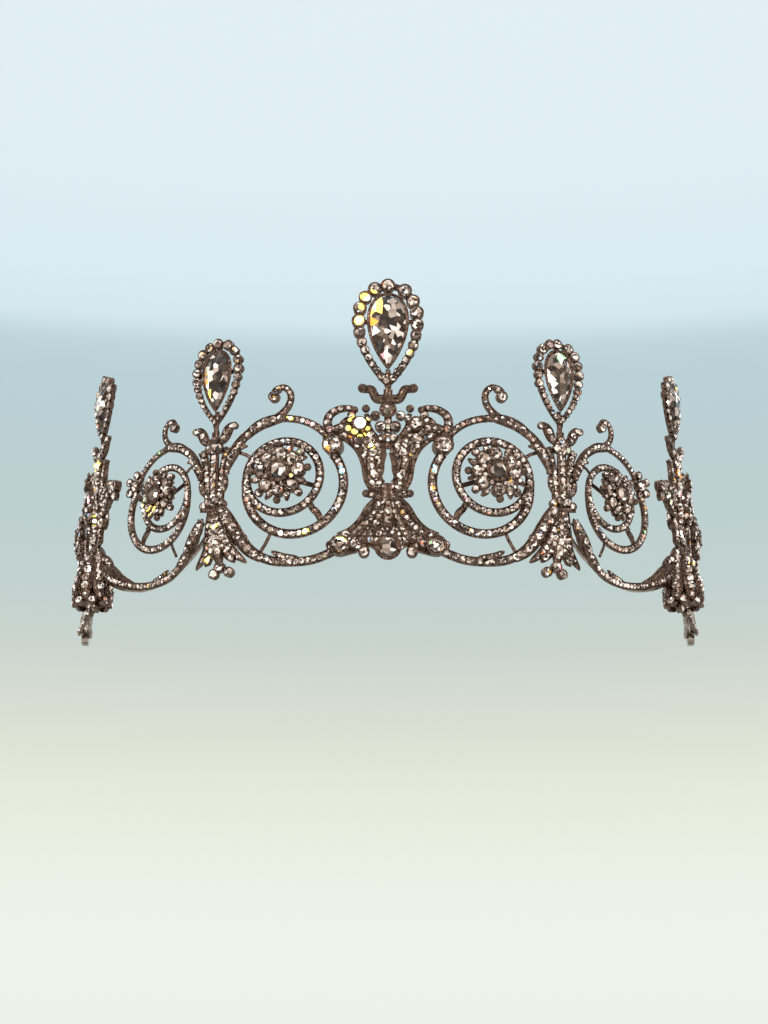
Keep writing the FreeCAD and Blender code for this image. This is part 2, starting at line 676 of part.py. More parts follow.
RAIL = [
    ("station_one_arc", 0.0, 16.5), ("station_one_arc", 5.0, 8.6), ("wheel_two_arc", -5.0, 3.3),
    ("wheel_two_arc", 3.0, 1.6), ("wheel_two_arc", 12.0, 3.6), ("station_two_arc", 0.0, 9.0),
    ("station_two_arc", 6.5, 5.4), ("wheel_three_arc", 2.0, 2.5), ("quarter_arc", 0.0, 2.1),
]
for word, sign in (("left", -1), ("right", 1)):
    points = [
        stand(sign * (size(name) + along), height, -1.75).Base for name, along, height in RAIL
    ]
    points.append(end_place(sign, size("end_back"), 2.1).Base - Vector(sign * 1.2, 0, 0))
    wire = rounded_wire(points)
    circle = Part.makeCircle(size("rail_radius"), points[0], points[1] - points[0])
    rod = wire.makePipeShell([Part.Wire([circle])], True, True)
    solid(f"rail_{word}", rod, Placement())
    direction = Side(sign)
    back = size("end_back")
    wall, bore = "Sizes.loop_bore + Sizes.loop_wall", "Sizes.loop_bore"
    post = [
        direction.bar(back, 0, back, 12.0, 2.0, "Sizes.loop_plate"),
        direction.disc(back, 12.0, 1.5, "Sizes.loop_plate"),
        direction.disc(back, 1.5, 1.5, "Sizes.loop_plate"),
        direction.leaf(back - 5.0, 1.6, back, 9.5, 0.3, "Sizes.loop_plate"),
    ]
    post = fuse(post)
    ribbon = cut(
        disc(direction.x(back + 3.1), 8.5, wall, "Sizes.loop_plate"),
        disc(direction.x(back + 3.1), 8.5, bore, "Sizes.loop_plate + 2", -1),
    )
    place = end_place(sign).multiply(Placement(Vector(0, 0, -size("loop_plate") / 2), Rotation()))
    finish(f"end_post_{word}", post, place)
    finish(f"ribbon_loop_{word}", ribbon, place)

# ---------------------------------------------------------------- recompute, check and write
doc.recompute()
problems = []
for made in doc.Objects:
    if "Invalid" in made.State or "Error" in made.State:
        problems.append(f"{made.Label} {made.State}")
for name, made in parts.items():
    if made.Shape.isNull() or not made.Shape.isValid() or not made.Shape.Solids:
        problems.append(f"{name} has no valid solid")
if problems:
    raise RuntimeError("; ".join(problems))
os.makedirs("parts", exist_ok=True)
for name, made in parts.items():
    made.Shape.exportStep(f"parts/{name}.step")
print(len(parts), "parts written")
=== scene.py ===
# %% [markdown]
# # A scroll tiara, stone by stone
# The metal frame of this tiara comes from the CAD model. Here it gets its visible work:
# rounded bands with fine rims, rows of small stones, leaf shapes, collets and pear finials.
# Each piece is drawn flat, in millimetres, the way a jeweller saws it from sheet,
# and is then stood up on the ellipse that is the plan of the tiara.

# %% Load the frame
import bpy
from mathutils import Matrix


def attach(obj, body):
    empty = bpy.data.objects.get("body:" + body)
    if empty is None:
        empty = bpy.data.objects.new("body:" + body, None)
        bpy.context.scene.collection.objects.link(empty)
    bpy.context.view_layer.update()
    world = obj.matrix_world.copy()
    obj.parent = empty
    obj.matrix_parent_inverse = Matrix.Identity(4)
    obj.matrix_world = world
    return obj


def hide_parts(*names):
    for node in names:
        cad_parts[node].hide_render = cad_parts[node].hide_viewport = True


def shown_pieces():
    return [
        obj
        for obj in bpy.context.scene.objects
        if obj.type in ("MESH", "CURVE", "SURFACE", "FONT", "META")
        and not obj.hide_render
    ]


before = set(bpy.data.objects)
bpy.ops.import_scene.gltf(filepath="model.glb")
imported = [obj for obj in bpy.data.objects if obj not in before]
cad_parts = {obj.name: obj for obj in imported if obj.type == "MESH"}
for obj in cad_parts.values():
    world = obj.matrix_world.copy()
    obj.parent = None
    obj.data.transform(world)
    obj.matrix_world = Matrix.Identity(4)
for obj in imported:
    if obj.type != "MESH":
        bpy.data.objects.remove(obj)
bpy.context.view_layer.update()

# %% Modules
import bpy
import bmesh
import math
import random
from mathutils import Matrix, Vector
random.seed(12)

# %% [markdown]
# ## The plan of the tiara
# Every piece sits on one ellipse. A place on it is an arc length from the centre front.
# A matrix takes a flat drawing (x along the tiara, y up, z outwards) to that place.
# It also turns millimetres into Blender's metres.

# %% The ellipse and its matrices
HALF_WIDTH, DEPTH, CENTRE_BACK = 77.0, 59.4, 27.05
WHEEL_HEIGHT = 21.0
SIDES = (("left", -1), ("right", 1))
MM = 0.001


def ellipse_parameter(arc, steps=1500):
    """Ellipse parameter where the curve has run this far from the centre front."""
    run, step = 0.0, 1.7 / steps
    for k in range(steps):
        mid = (k + 0.5) * step
        run += step * math.hypot(HALF_WIDTH * math.cos(mid), DEPTH * math.sin(mid))
        if run >= abs(arc):
            break
    return math.copysign((k + 1) * step, arc) if arc else 0.0


def facing(point, tangent):
    """Matrix of a local plane with its x along the tangent and its z outwards."""
    normal = Vector((tangent.y, -tangent.x, 0))
    columns = [tangent * MM, Vector((0, 0, MM)), normal * MM, point * MM]
    rows = [[c[i] for c in columns] for i in range(3)]
    return Matrix(rows + [[0, 0, 0, 1]])


def on_ellipse(arc):
    t = ellipse_parameter(arc)
    tangent = Vector((HALF_WIDTH * math.cos(t), DEPTH * math.sin(t), 0)).normalized()
    point = Vector((HALF_WIDTH * math.sin(t), CENTRE_BACK - DEPTH * math.cos(t), 0))
    return point, tangent


def stand(arc, height=0.0):
    """Place of a piece that is tangent to the ellipse."""
    point, tangent = on_ellipse(arc)
    return facing(point + Vector((0, 0, height)), tangent)


def stand_between(first, last, arc, height):
    """Place of a flat panel that spans two stations."""
    start, end = sorted([on_ellipse(first)[0], on_ellipse(last)[0]], key=lambda p: p.x)
    tangent = (end - start).normalized()
    normal = Vector((tangent.y, -tangent.x, 0))
    here = on_ellipse(arc)[0]
    on_chord = start + tangent * (here - start).dot(tangent)
    point = on_chord + normal * ((here - on_chord).dot(normal) * 0.5)
    return facing(Vector((point.x, point.y, height)), tangent)


print("centre front:", stand(0).translation, "station one:", stand(41.5).translation)

# %% [markdown]
# ## Two finishes
# The setting metal is an old silver alloy: a warm grey that has gone brown in the hollows.
# The stones are clear and cut with many flat faces. Set in closed backs they don't look
# like window glass: each face is either dark or bright, and a few split the light into colour.
# A cell pattern a little finer than the stones paints each face dark or bright, as a painted reflection of
# the room or a lamp.

# %% Node helpers
def add_node(tree, kind, at=None, **settings):
    """Adds a node. Keys are properties or input names; at holds values by input number."""
    node = tree.nodes.new(kind)
    for key, value in settings.items():
        if hasattr(node, key):
            setattr(node, key, value)
        else:
            node.inputs[key.replace("_", " ").title()].default_value = value
    for number, value in (at or {}).items():
        node.inputs[number].default_value = value
    return node


def wire(tree, *pairs):
    """Links sockets, written as pairs of (output, input)."""
    for source, target in pairs:
        tree.links.new(source, target)


def group_socket(group, name, kind, value=None, in_out="INPUT"):
    """A named input or output of a node group, with its starting value."""
    socket = group.interface.new_socket(name, in_out=in_out, socket_type="NodeSocket" + kind)
    if value is not None:
        socket.default_value = value


def ramp(tree, stops, interpolation="LINEAR"):
    """A colour ramp with (place, colour) stops."""
    node = add_node(tree, "ShaderNodeValToRGB")
    node.color_ramp.interpolation = interpolation
    elements = node.color_ramp.elements
    while len(elements) < len(stops):
        elements.new(0.5)
    for element, (place, colour) in zip(elements, stops):
        element.position = place
        element.color = (*colour, 1)
    return node


def new_material(name, **settings):
    """A material with its tree and its Principled shader; keys are the shader's inputs."""
    material = bpy.data.materials.new(name)
    material.use_nodes = True
    shader = material.node_tree.nodes["Principled BSDF"]
    for key, value in settings.items():
        shader.inputs[key.replace("_", " ").title()].default_value = value
    return material, material.node_tree, shader


print("helpers for nodes and materials are ready")

# %% [markdown]
# ## Tarnish, shared by both metals
# Old silver darkens in blotches and keeps a fine grain. A picture of tarnish would stretch over
# the curved bands, so two sizes of noise make it from each point's own place on the piece.
# It is a node group, so that each metal can have it with its own blotch size.

# %% Shared shader group: tarnish
def tarnish_group():
    """Mottling of old metal: a tarnish mask and a fine height from Object coordinates."""
    group = bpy.data.node_groups.new("tarnish", "ShaderNodeTree")
    group_socket(group, "Blotch Size", "Float", 1.6)
    group_socket(group, "Grain Size", "Float", 0.35)
    for name in ("Mask", "Height"):
        group_socket(group, name, "Float", in_out="OUTPUT")
    inputs, outputs = add_node(group, "NodeGroupInput"), add_node(group, "NodeGroupOutput")
    place = add_node(group, "ShaderNodeTexCoord")
    masks = []
    for name in ("Blotch Size", "Grain Size"):
        per_metre = add_node(group, "ShaderNodeMath", at={0: 1 / MM}, operation="DIVIDE")
        noise = add_node(group, "ShaderNodeTexNoise", detail=3.0, roughness=0.6)
        wire(group, (inputs.outputs[name], per_metre.inputs[1]),
             (per_metre.outputs[0], noise.inputs["Scale"]),
             (place.outputs["Object"], noise.inputs["Vector"]))
        masks.append(noise.outputs["Fac"])
    mix = add_node(group, "ShaderNodeMath", at={1: 0.35}, operation="MULTIPLY_ADD")
    spread = add_node(group, "ShaderNodeMapRange", from_min=0.45, from_max=0.85)
    wire(group, (masks[1], mix.inputs[0]), (masks[0], mix.inputs[2]),
         (mix.outputs[0], spread.inputs["Value"]),
         (spread.outputs["Result"], outputs.inputs["Mask"]),
         (masks[1], outputs.inputs["Height"]))
    return group


TARNISH = tarnish_group()
print("group:", TARNISH.name)

# %% [markdown]
# ## Setting metal and polished metal
# The bands and collets are the tarnished metal; the rails and loops are wiped bright by hands.
# Both are one recipe with other colours, roughness and blotches, so one function makes both.

# %% Setting metal and polished metal
ROUGHER_IN_TARNISH = 0.22


def metal(name, dark, light, roughness, blotch, bump):
    """Old metal: light and smooth where it is worn, dark and rough where it has tarnished."""
    material, tree, shader = new_material(name, metallic=1.0, specular_tint=(1, 0.96, 0.92, 1))
    worn = add_node(tree, "ShaderNodeGroup", node_tree=TARNISH, blotch_size=blotch)
    middle = [0.5 * (a + b) for a, b in zip(dark, light)]
    colour = ramp(tree, [(0.0, light), (0.55, middle), (1.0, dark)])
    rough = add_node(tree, "ShaderNodeMapRange", to_min=roughness, to_max=roughness + ROUGHER_IN_TARNISH)
    relief = add_node(tree, "ShaderNodeBump", strength=bump, distance=0.05 * MM)
    wire(tree, (worn.outputs["Mask"], colour.inputs["Fac"]),
         (colour.outputs["Color"], shader.inputs["Base Color"]),
         (worn.outputs["Mask"], rough.inputs["Value"]),
         (rough.outputs["Result"], shader.inputs["Roughness"]),
         (worn.outputs["Height"], relief.inputs["Height"]),
         (relief.outputs["Normal"], shader.inputs["Normal"]))
    return material


SETTING_METAL = metal("aged_setting_metal", (0.04, 0.022, 0.016), (0.36, 0.25, 0.195), 0.22, 0.8, 0.9)
POLISHED_METAL = metal("polished_rail_metal", (0.30, 0.235, 0.19), (0.70, 0.62, 0.55), 0.12, 3.0, 0.2)
print("metals:", SETTING_METAL.name, POLISHED_METAL.name)

# %% [markdown]
# ## Cut stones
# A cut stone sends back either the lamp or the dark room from each of its small faces. Tracing
# that inside hundreds of stones is slow and noisy, so random cells paint the reflections and glints.
# The large stones are deeper, and most of their faces are painted dark.

# %% Cut stones
def cut_stone_material(name, cell, painted_reflections, fire, lit_from):
    """Each cell gets one painted reflection, dark or bright; the cells past lit_from glow as painted glints,
    and a share, fire, glows in painted spectral colours.
    """
    material, tree, shader = new_material(name, roughness=0.05, metallic=0.6, coat_weight=1.0,
                                          coat_roughness=0.03, emission_strength=1.0)
    shader.inputs["IOR"].default_value = 2.2
    place = add_node(tree, "ShaderNodeTexCoord")
    cells = add_node(tree, "ShaderNodeTexVoronoi", scale=1 / (cell * MM))
    split = add_node(tree, "ShaderNodeSeparateColor")
    painted_reflection = ramp(tree, painted_reflections)
    span = 1 - lit_from
    # Painted glints: an emission from black up to near white on the brightest cells.
    glimmer = ramp(tree, [(0.0, (0.002, 0.001, 0.001)), (lit_from, (0.02, 0.012, 0.008)),
                          (lit_from + 0.38 * span, (0.15, 0.105, 0.08)),
                          (lit_from + 0.69 * span, (0.50, 0.41, 0.345)), (1.0, (1.0, 0.93, 0.87))])
    # Painted colour flashes: the cells picked by fire glow in spectral colours instead.
    spectrum = ramp(tree, [(0.0, (1.0, 0.55, 0.08)), (0.2, (1.0, 0.93, 0.72)), (0.45, (0.55, 1.0, 0.45)),
                           (0.55, (1.0, 0.3, 0.12)), (0.68, (1.0, 1.0, 1.0)), (0.84, (0.45, 0.72, 1.0)),
                           (0.94, (1.0, 0.45, 0.6))], "CONSTANT")
    glow = add_node(tree, "ShaderNodeMath", at={1: 1 - fire}, operation="GREATER_THAN")
    light = add_node(tree, "ShaderNodeMix", data_type="RGBA")
    wire(tree, (place.outputs["Object"], cells.inputs["Vector"]),
         (cells.outputs["Color"], split.inputs["Color"]),
         (split.outputs["Red"], painted_reflection.inputs["Fac"]), (split.outputs["Red"], glimmer.inputs["Fac"]),
         (painted_reflection.outputs["Color"], shader.inputs["Base Color"]),
         (split.outputs["Green"], spectrum.inputs["Fac"]), (split.outputs["Blue"], glow.inputs[0]),
         (glow.outputs[0], light.inputs[0]), (glimmer.outputs["Color"], light.inputs[6]),
         (spectrum.outputs["Color"], light.inputs[7]),
         (light.outputs[2], shader.inputs["Emission Color"]))
    return material


# Base colours of the facets: painted reflections, from the dark room up to a lamp.
PAINTED_REFLECTIONS = [(0.0, (0.012, 0.006, 0.004)), (0.28, (0.055, 0.031, 0.022)), (0.48, (0.23, 0.155, 0.115)),
         (0.72, (0.58, 0.46, 0.38)), (1.0, (0.97, 0.90, 0.84))]
DEEP_PAINTED_REFLECTIONS = [(0.0, (0.010, 0.008, 0.006)), (0.40, (0.040, 0.033, 0.026)), (0.62, (0.13, 0.105, 0.082)),
              (0.84, (0.40, 0.33, 0.27)), (1.0, (0.95, 0.90, 0.84))]
SMALL_STONE = cut_stone_material("small_cut_stone", 0.62, PAINTED_REFLECTIONS, 0.03, 0.24)
LARGE_STONE = cut_stone_material("large_cut_stone", 1.35, DEEP_PAINTED_REFLECTIONS, 0.03, 0.58)
print("stones:", SMALL_STONE.name, LARGE_STONE.name)

# %% [markdown]
# ## The band and the settings as Geometry Nodes
# A drawing is a mesh of edges and loose points. Edges become bands: a flattened rod swept
# along the line, as wide as the point attribute "half" says, with a fine rim along each side.
# Loose points become settings. Their attribute "size" is the radius, and "kind" says which:
# 0 is a stone held by grains, 1 is a stone in a round collet, 2 is a plain bead.
# Stones are tipped a little at random, because no two old stones sit quite alike,
# and that is what makes them flash one at a time.


# %% Tree: bands from edges
def attribute(tree, name, data_type="FLOAT"):
    """Reads a value that the drawing stores on its points."""
    return add_node(tree, "GeometryNodeInputNamedAttribute", at={0: name}, data_type=data_type)


def work_tree():
    """The empty tree with its named inputs."""
    tree = bpy.data.node_groups.new("jewellers_work", "GeometryNodeTree")
    tree.is_modifier = True
    group_socket(tree, "Drawing", "Geometry")
    group_socket(tree, "Work", "Geometry", in_out="OUTPUT")
    for name, value in (("Band Depth", 0.55), ("Rim Radius", 0.13), ("Tip", 0.3)):
        group_socket(tree, name, "Float", value)
    group_socket(tree, "Seed", "Int", 7)
    for name in ("Metal", "Stone"):
        group_socket(tree, name, "Material")
    return tree, add_node(tree, "NodeGroupInput"), add_node(tree, "NodeGroupOutput")


def band_nodes(tree, source):
    """Sweeps the drawn lines into flattened rods and gives each a rim along both sides."""
    lines = add_node(tree, "GeometryNodeMeshToCurve")
    half = attribute(tree, "half")
    upright = add_node(tree, "GeometryNodeSetCurveNormal", mode="Z_UP")
    rod = add_node(tree, "GeometryNodeCurvePrimitiveCircle", resolution=10, radius=1.0)
    flat = add_node(tree, "GeometryNodeTransform")
    depth = add_node(tree, "ShaderNodeCombineXYZ", x=1.0, z=1.0)
    body = add_node(tree, "GeometryNodeCurveToMesh", fill_caps=True)
    joined = add_node(tree, "GeometryNodeJoinGeometry")
    wire(tree, (source.outputs["Drawing"], lines.inputs["Mesh"]),
         (lines.outputs["Curve"], upright.inputs["Curve"]),
         (rod.outputs["Curve"], flat.inputs["Geometry"]),
         (source.outputs["Band Depth"], depth.inputs["Y"]),
         (depth.outputs["Vector"], flat.inputs["Scale"]),
         (upright.outputs["Curve"], body.inputs["Curve"]),
         (flat.outputs["Geometry"], body.inputs["Profile Curve"]),
         (half.outputs["Attribute"], body.inputs["Scale"]),
         (body.outputs["Mesh"], joined.inputs["Geometry"]))
    tangent = add_node(tree, "GeometryNodeInputTangent")
    thin = add_node(tree, "GeometryNodeCurvePrimitiveCircle", resolution=6, radius=1.0)
    for hand in (-1, 1):
        side = add_node(tree, "ShaderNodeVectorMath", at={1: (0, 0, 0.93 * hand)}, operation="CROSS_PRODUCT")
        lift = add_node(tree, "ShaderNodeVectorMath", at={1: (0, 0, 0.36)}, operation="ADD")
        reach = add_node(tree, "ShaderNodeVectorMath", operation="SCALE")
        move = add_node(tree, "GeometryNodeSetPosition")
        rim = add_node(tree, "GeometryNodeCurveToMesh", fill_caps=True)
        wire(tree, (tangent.outputs[0], side.inputs[0]), (side.outputs[0], lift.inputs[0]),
             (lift.outputs[0], reach.inputs[0]), (half.outputs["Attribute"], reach.inputs["Scale"]),
             (lines.outputs["Curve"], move.inputs["Geometry"]),
             (reach.outputs[0], move.inputs["Offset"]),
             (move.outputs["Geometry"], rim.inputs["Curve"]),
             (thin.outputs["Curve"], rim.inputs["Profile Curve"]),
             (source.outputs["Rim Radius"], rim.inputs["Scale"]),
             (rim.outputs["Mesh"], joined.inputs["Geometry"]))
    smooth = add_node(tree, "GeometryNodeSetShadeSmooth")
    wire(tree, (joined.outputs["Geometry"], smooth.inputs[0]))
    return smooth.outputs[0]


WORK, WORK_IN, WORK_OUT = work_tree()
BANDS = band_nodes(WORK, WORK_IN)
print("band nodes:", len(WORK.nodes))

# %% [markdown]
# ## What stands on the points
# Small stones are held by four grains raised from the band; larger ones sit in a collet, which
# is a tube with a lip. Each shape is made once with a radius of 1 and is instanced on the points,
# so hundreds of stones cost one small mesh. The collet hides a stone's edge, so its stone is smaller.

# %% The shapes that are set: stone, collet, grains and bead
def moved(tree, shape, place):
    """Moves a shape before it is set."""
    node = add_node(tree, "GeometryNodeTransform", translation=place)
    wire(tree, (shape, node.inputs["Geometry"]))
    return node.outputs["Geometry"]


def joined_shapes(tree, shapes):
    node = add_node(tree, "GeometryNodeJoinGeometry")
    wire(tree, *((shape, node.inputs["Geometry"]) for shape in shapes))
    return node.outputs["Geometry"]


def stone_shape(tree, sides=8):
    """Crown of a round stone: two steps of flat faces under a table."""
    steps = []
    for low, high, base, tall in ((1.0, 0.86, -0.04, 0.2), (0.86, 0.52, 0.16, 0.26)):
        step = add_node(tree, "GeometryNodeMeshCone", vertices=sides, radius_bottom=low,
                        radius_top=high, depth=tall)
        steps.append(moved(tree, step.outputs["Mesh"], (0, 0, base)))
    return joined_shapes(tree, steps)


def grain_shape(tree):
    """Four grains that stand round a grain-set stone."""
    grain = add_node(tree, "GeometryNodeMeshIcoSphere", radius=0.2, subdivisions=1)
    spots = add_node(tree, "GeometryNodeMeshCircle", vertices=4, radius=1.02)
    grains = add_node(tree, "GeometryNodeInstanceOnPoints")
    wire(tree, (spots.outputs["Mesh"], grains.inputs["Points"]),
         (grain.outputs["Mesh"], grains.inputs["Instance"]))
    return moved(tree, grains.outputs["Instances"], (0, 0, 0.06))


def collet_shape(tree):
    """A round wall with a wire lip."""
    wall = add_node(tree, "GeometryNodeMeshCylinder", vertices=14, radius=1.0, depth=1.0)
    circle = add_node(tree, "GeometryNodeCurvePrimitiveCircle", resolution=14, radius=0.93)
    wire_round = add_node(tree, "GeometryNodeCurvePrimitiveCircle", resolution=5, radius=0.12)
    lip = add_node(tree, "GeometryNodeCurveToMesh")
    wire(tree, (circle.outputs["Curve"], lip.inputs["Curve"]),
         (wire_round.outputs["Curve"], lip.inputs["Profile Curve"]))
    low_wall = moved(tree, wall.outputs["Mesh"], (0, 0, -0.52))
    return joined_shapes(tree, [low_wall, lip.outputs["Mesh"]])


def bead_shape(tree):
    bead = add_node(tree, "GeometryNodeMeshIcoSphere", radius=1.0, subdivisions=2)
    smooth = add_node(tree, "GeometryNodeSetShadeSmooth")
    wire(tree, (bead.outputs["Mesh"], smooth.inputs[0]))
    return smooth.outputs[0]


def random_tip(tree, source):
    """A turn for each stone: up to Tip either way, and the same twist for all."""
    tip = add_node(tree, "FunctionNodeRandomValue", data_type="FLOAT_VECTOR")
    low = add_node(tree, "ShaderNodeMath", at={1: -1.0}, operation="MULTIPLY")
    wire(tree, (source.outputs["Tip"], low.inputs[0]), (source.outputs["Seed"], tip.inputs["Seed"]))
    for number, value in enumerate((low.outputs[0], source.outputs["Tip"])):
        limit = add_node(tree, "ShaderNodeCombineXYZ", z=0.4)
        wire(tree, (value, limit.inputs["X"]), (value, limit.inputs["Y"]),
             (limit.outputs[0], tip.inputs[number]))
    return tip.outputs[0]


def set_shapes(tree, source, result, bands):
    """Puts the right shape on each point of the drawing, and paints metal and stone."""
    size, kind = attribute(tree, "size"), attribute(tree, "kind", "INT")
    tip, crown = random_tip(tree, source), stone_shape(tree)
    parts = {"Metal": [bands], "Stone": []}
    for wanted, shape, share, turn, material in (
            (GRAINS, crown, 1.0, tip, "Stone"), (GRAINS, grain_shape(tree), 1.0, None, "Metal"),
            (COLLET, crown, 0.84, tip, "Stone"), (COLLET, collet_shape(tree), 1.0, None, "Metal"),
            (BEAD, bead_shape(tree), 1.0, None, "Metal")):
        chosen = add_node(tree, "FunctionNodeCompare", at={3: wanted}, data_type="INT", operation="EQUAL")
        scale = add_node(tree, "ShaderNodeMath", at={1: share}, operation="MULTIPLY")
        place = add_node(tree, "GeometryNodeInstanceOnPoints")
        wire(tree, (kind.outputs["Attribute"], chosen.inputs[2]),
             (chosen.outputs[0], place.inputs["Selection"]),
             (source.outputs["Drawing"], place.inputs["Points"]),
             (shape, place.inputs["Instance"]), (size.outputs["Attribute"], scale.inputs[0]),
             (scale.outputs[0], place.inputs["Scale"]))
        if turn:
            wire(tree, (turn, place.inputs["Rotation"]))
        parts[material].append(place.outputs["Instances"])
    painted = []
    for name, shapes in parts.items():
        real = add_node(tree, "GeometryNodeRealizeInstances")
        paint = add_node(tree, "GeometryNodeSetMaterial")
        wire(tree, (joined_shapes(tree, shapes), real.inputs["Geometry"]),
             (real.outputs["Geometry"], paint.inputs["Geometry"]),
             (source.outputs[name], paint.inputs["Material"]))
        painted.append(paint.outputs["Geometry"])
    wire(tree, (joined_shapes(tree, painted), result.inputs["Work"]))


GRAINS, COLLET, BEAD = 0, 1, 2
set_shapes(WORK, WORK_IN, WORK_OUT, BANDS)
print("all nodes:", len(WORK.nodes))

# %% [markdown]
# ## Drawing a piece
# A drawing collects bands, settings and sawn plates. "through" draws a smooth line through
# a few given points, which is how the scrolls and leaves get their living curves.


# %% Lines
def through(points, per=7):
    """A smooth line through the points (Catmull-Rom)."""
    last = len(points) - 1
    line = []
    for k in range(last):
        near = [points[min(max(k + d, 0), last)] for d in (-1, 0, 1, 2)]
        for step in range(per):
            t = step / per
            weights = (-0.5 * t + t * t - 0.5 * t ** 3, 1 - 2.5 * t * t + 1.5 * t ** 3,
                       0.5 * t + 2 * t * t - 1.5 * t ** 3, -0.5 * t * t + 0.5 * t ** 3)
            line.append(tuple(sum(w * q[i] for w, q in zip(weights, near)) for i in (0, 1)))
    return line + [points[-1]]


def arc_line(x, y, radius, start, end, step=7.0):
    """Part of a circle, from start to end degrees."""
    count = max(2, int(abs(end - start) / step) + 1)
    turns = [math.radians(start + (end - start) * k / (count - 1)) for k in range(count)]
    return [(x + radius * math.cos(t), y + radius * math.sin(t)) for t in turns]


def spaced(line, gap, closed=False, margin=0.5):
    """Points every so far along a line: (x, y, share of the way)."""
    points = list(line) + ([line[0]] if closed else [])
    runs = [math.dist(a, b) for a, b in zip(points, points[1:])]
    total = sum(runs)
    count = max(1, round(total / gap))
    spots = []
    for k in range(count):
        want = total * (k + margin) / count
        walked = 0.0
        for a, b, run in zip(points, points[1:], runs):
            if walked + run >= want or b is points[-1]:
                t = (want - walked) / run if run else 0
                spots.append((a[0] + (b[0] - a[0]) * t, a[1] + (b[1] - a[1]) * t, want / total))
                break
            walked += run
    return spots


def swell(full, start=0.0, end=0.0, peak=0.5):
    """Half width that swells from start to full at peak, and falls to end."""
    def width(share):
        low, t = (start, share / peak) if share < peak else (end, (1 - share) / (1 - peak))
        return low + (full - low) * math.sin(t * math.pi / 2) ** 0.8
    return width


print("a smooth line through 3 points has", len(through([(0, 0), (1, 2), (3, 1)])), "points")

# %% [markdown]
# ## The drawing itself
# A drawing only collects points, edges and numbers on them; the tree above turns them to metal.
# So one short word, such as leaf or set_band, draws what a setter would call by that name.

# %% The drawing
THINNEST = 0.08
GRAIN_GAP, GRAIN_FILL = 1.42, 0.7
LEAF_FILL, LARGEST_LEAF_STONE = 0.62, 1.15
RISE = 0.62


class Drawing:
    """A flat drawing in millimetres; hand is -1 while it draws on the left."""

    def __init__(self):
        self.points, self.edges, self.halves, self.sizes, self.kinds = [], [], [], [], []
        self.plates = []
        self.hand = 1

    def both_hands(self):
        """What a loop over this draws is drawn on the left, then on the right."""
        for self.hand in (-1, 1):
            yield self.hand
        self.hand = 1

    def point(self, x, y, z, half=0.0, size=0.0, kind=-1):
        self.points.append((self.hand * x, y, z))
        self.halves.append(half)
        self.sizes.append(size)
        self.kinds.append(kind)

    def band(self, line, half=1.0, closed=False, z=0.0):
        """half is the half width, or a function that gives it at each share of the way."""
        first, count = len(self.points), len(line)
        for k, (x, y) in enumerate(line):
            width = half(k / (count - 1)) if callable(half) else half
            self.point(x, y, z, half=max(THINNEST, width))
        self.edges += [(first + k, first + k + 1) for k in range(count - 1)]
        if closed:
            self.edges.append((first + count - 1, first))

    def setting(self, x, y, size, kind=COLLET, z=0.9):
        self.point(x, y, z, size=size, kind=kind)

    def row(self, line, size, gap, kind=GRAINS, z=0.66):
        for x, y, share in spaced(line, gap):
            here = size(share) if callable(size) else size
            if here > 0.2:
                self.setting(x, y, here, kind, z)

    def set_band(self, line, half=1.0, closed=False, z=0.0):
        """A band with a row of grain-set stones down its middle."""
        self.band(line, half, closed, z)
        for x, y, share in spaced(line, GRAIN_GAP, closed):
            width = half(share) if callable(half) else half
            size = width * GRAIN_FILL * (0.95 if callable(half) else 1.0)
            if size > 0.22:
                self.setting(x, y, size, GRAINS, z + RISE * width + 0.04)

    def leaf(self, points, full, z=0.0, peak=0.45, stones=True, start=0.25, end=0.1):
        """A band that swells and comes to a point, with stones that follow its width."""
        line, width = through(points, 6), swell(full, start, end, peak)
        self.band(line, width, z=z)
        for x, y, share in spaced(line, max(1.0, full * 1.25)) if stones else ():
            size = min(width(share) * LEAF_FILL, LARGEST_LEAF_STONE)
            if size > 0.28:
                self.setting(x, y, size, GRAINS, z + RISE * width(share) + 0.02)

    def pave(self, outline, size, gap, z):
        """Fills an outline with stones in offset rows."""
        outline = [(self.hand * x, y) for x, y in outline]
        xs, ys = zip(*outline)
        row, y = 0, min(ys) + gap * 0.5
        while y < max(ys):
            x = min(xs) + gap * (0.5 if row % 2 else 0.25)
            while x < max(xs):
                if clearance(outline, x, y) > size * 0.85:
                    self.setting(self.hand * x, y, size * random.uniform(0.86, 1.08), GRAINS, z)
                x += gap
            y += gap * 0.87
            row += 1

    def plate(self, outline, low, high):
        self.plates.append(([(self.hand * x, y) for x, y in outline], low, high))


def clearance(outline, x, y):
    """Distance from a point to an outline, or -1 outside it."""
    inside, nearest = False, math.inf
    for (x0, y0), (x1, y1) in zip(outline, outline[1:] + outline[:1]):
        if (y0 > y) != (y1 > y) and x < (x1 - x0) * (y - y0) / (y1 - y0) + x0:
            inside = not inside
        dx, dy = x1 - x0, y1 - y0
        t = min(1, max(0, ((x - x0) * dx + (y - y0) * dy) / (dx * dx + dy * dy + 1e-12)))
        nearest = min(nearest, math.hypot(x - x0 - t * dx, y - y0 - t * dy))
    return nearest if inside else -1.0


print("clearance in the middle of a 2 mm square:", clearance([(0, 0), (2, 0), (2, 2), (0, 2)], 1, 1))

# %% [markdown]
# ## From drawing to finished piece
# The modifier is evaluated once and its result is kept as a plain mesh, because instances are
# lost on export. Sawn plates are added to it, and the whole is moved to its place in the mesh,
# so that every object stays at the origin like the CAD nodes.

# %% From drawing to finished mesh
def input_name(tree, name):
    """Identifier of a modifier input."""
    return next(s.identifier for s in tree.interface.items_tree if s.name == name and s.in_out == "INPUT")


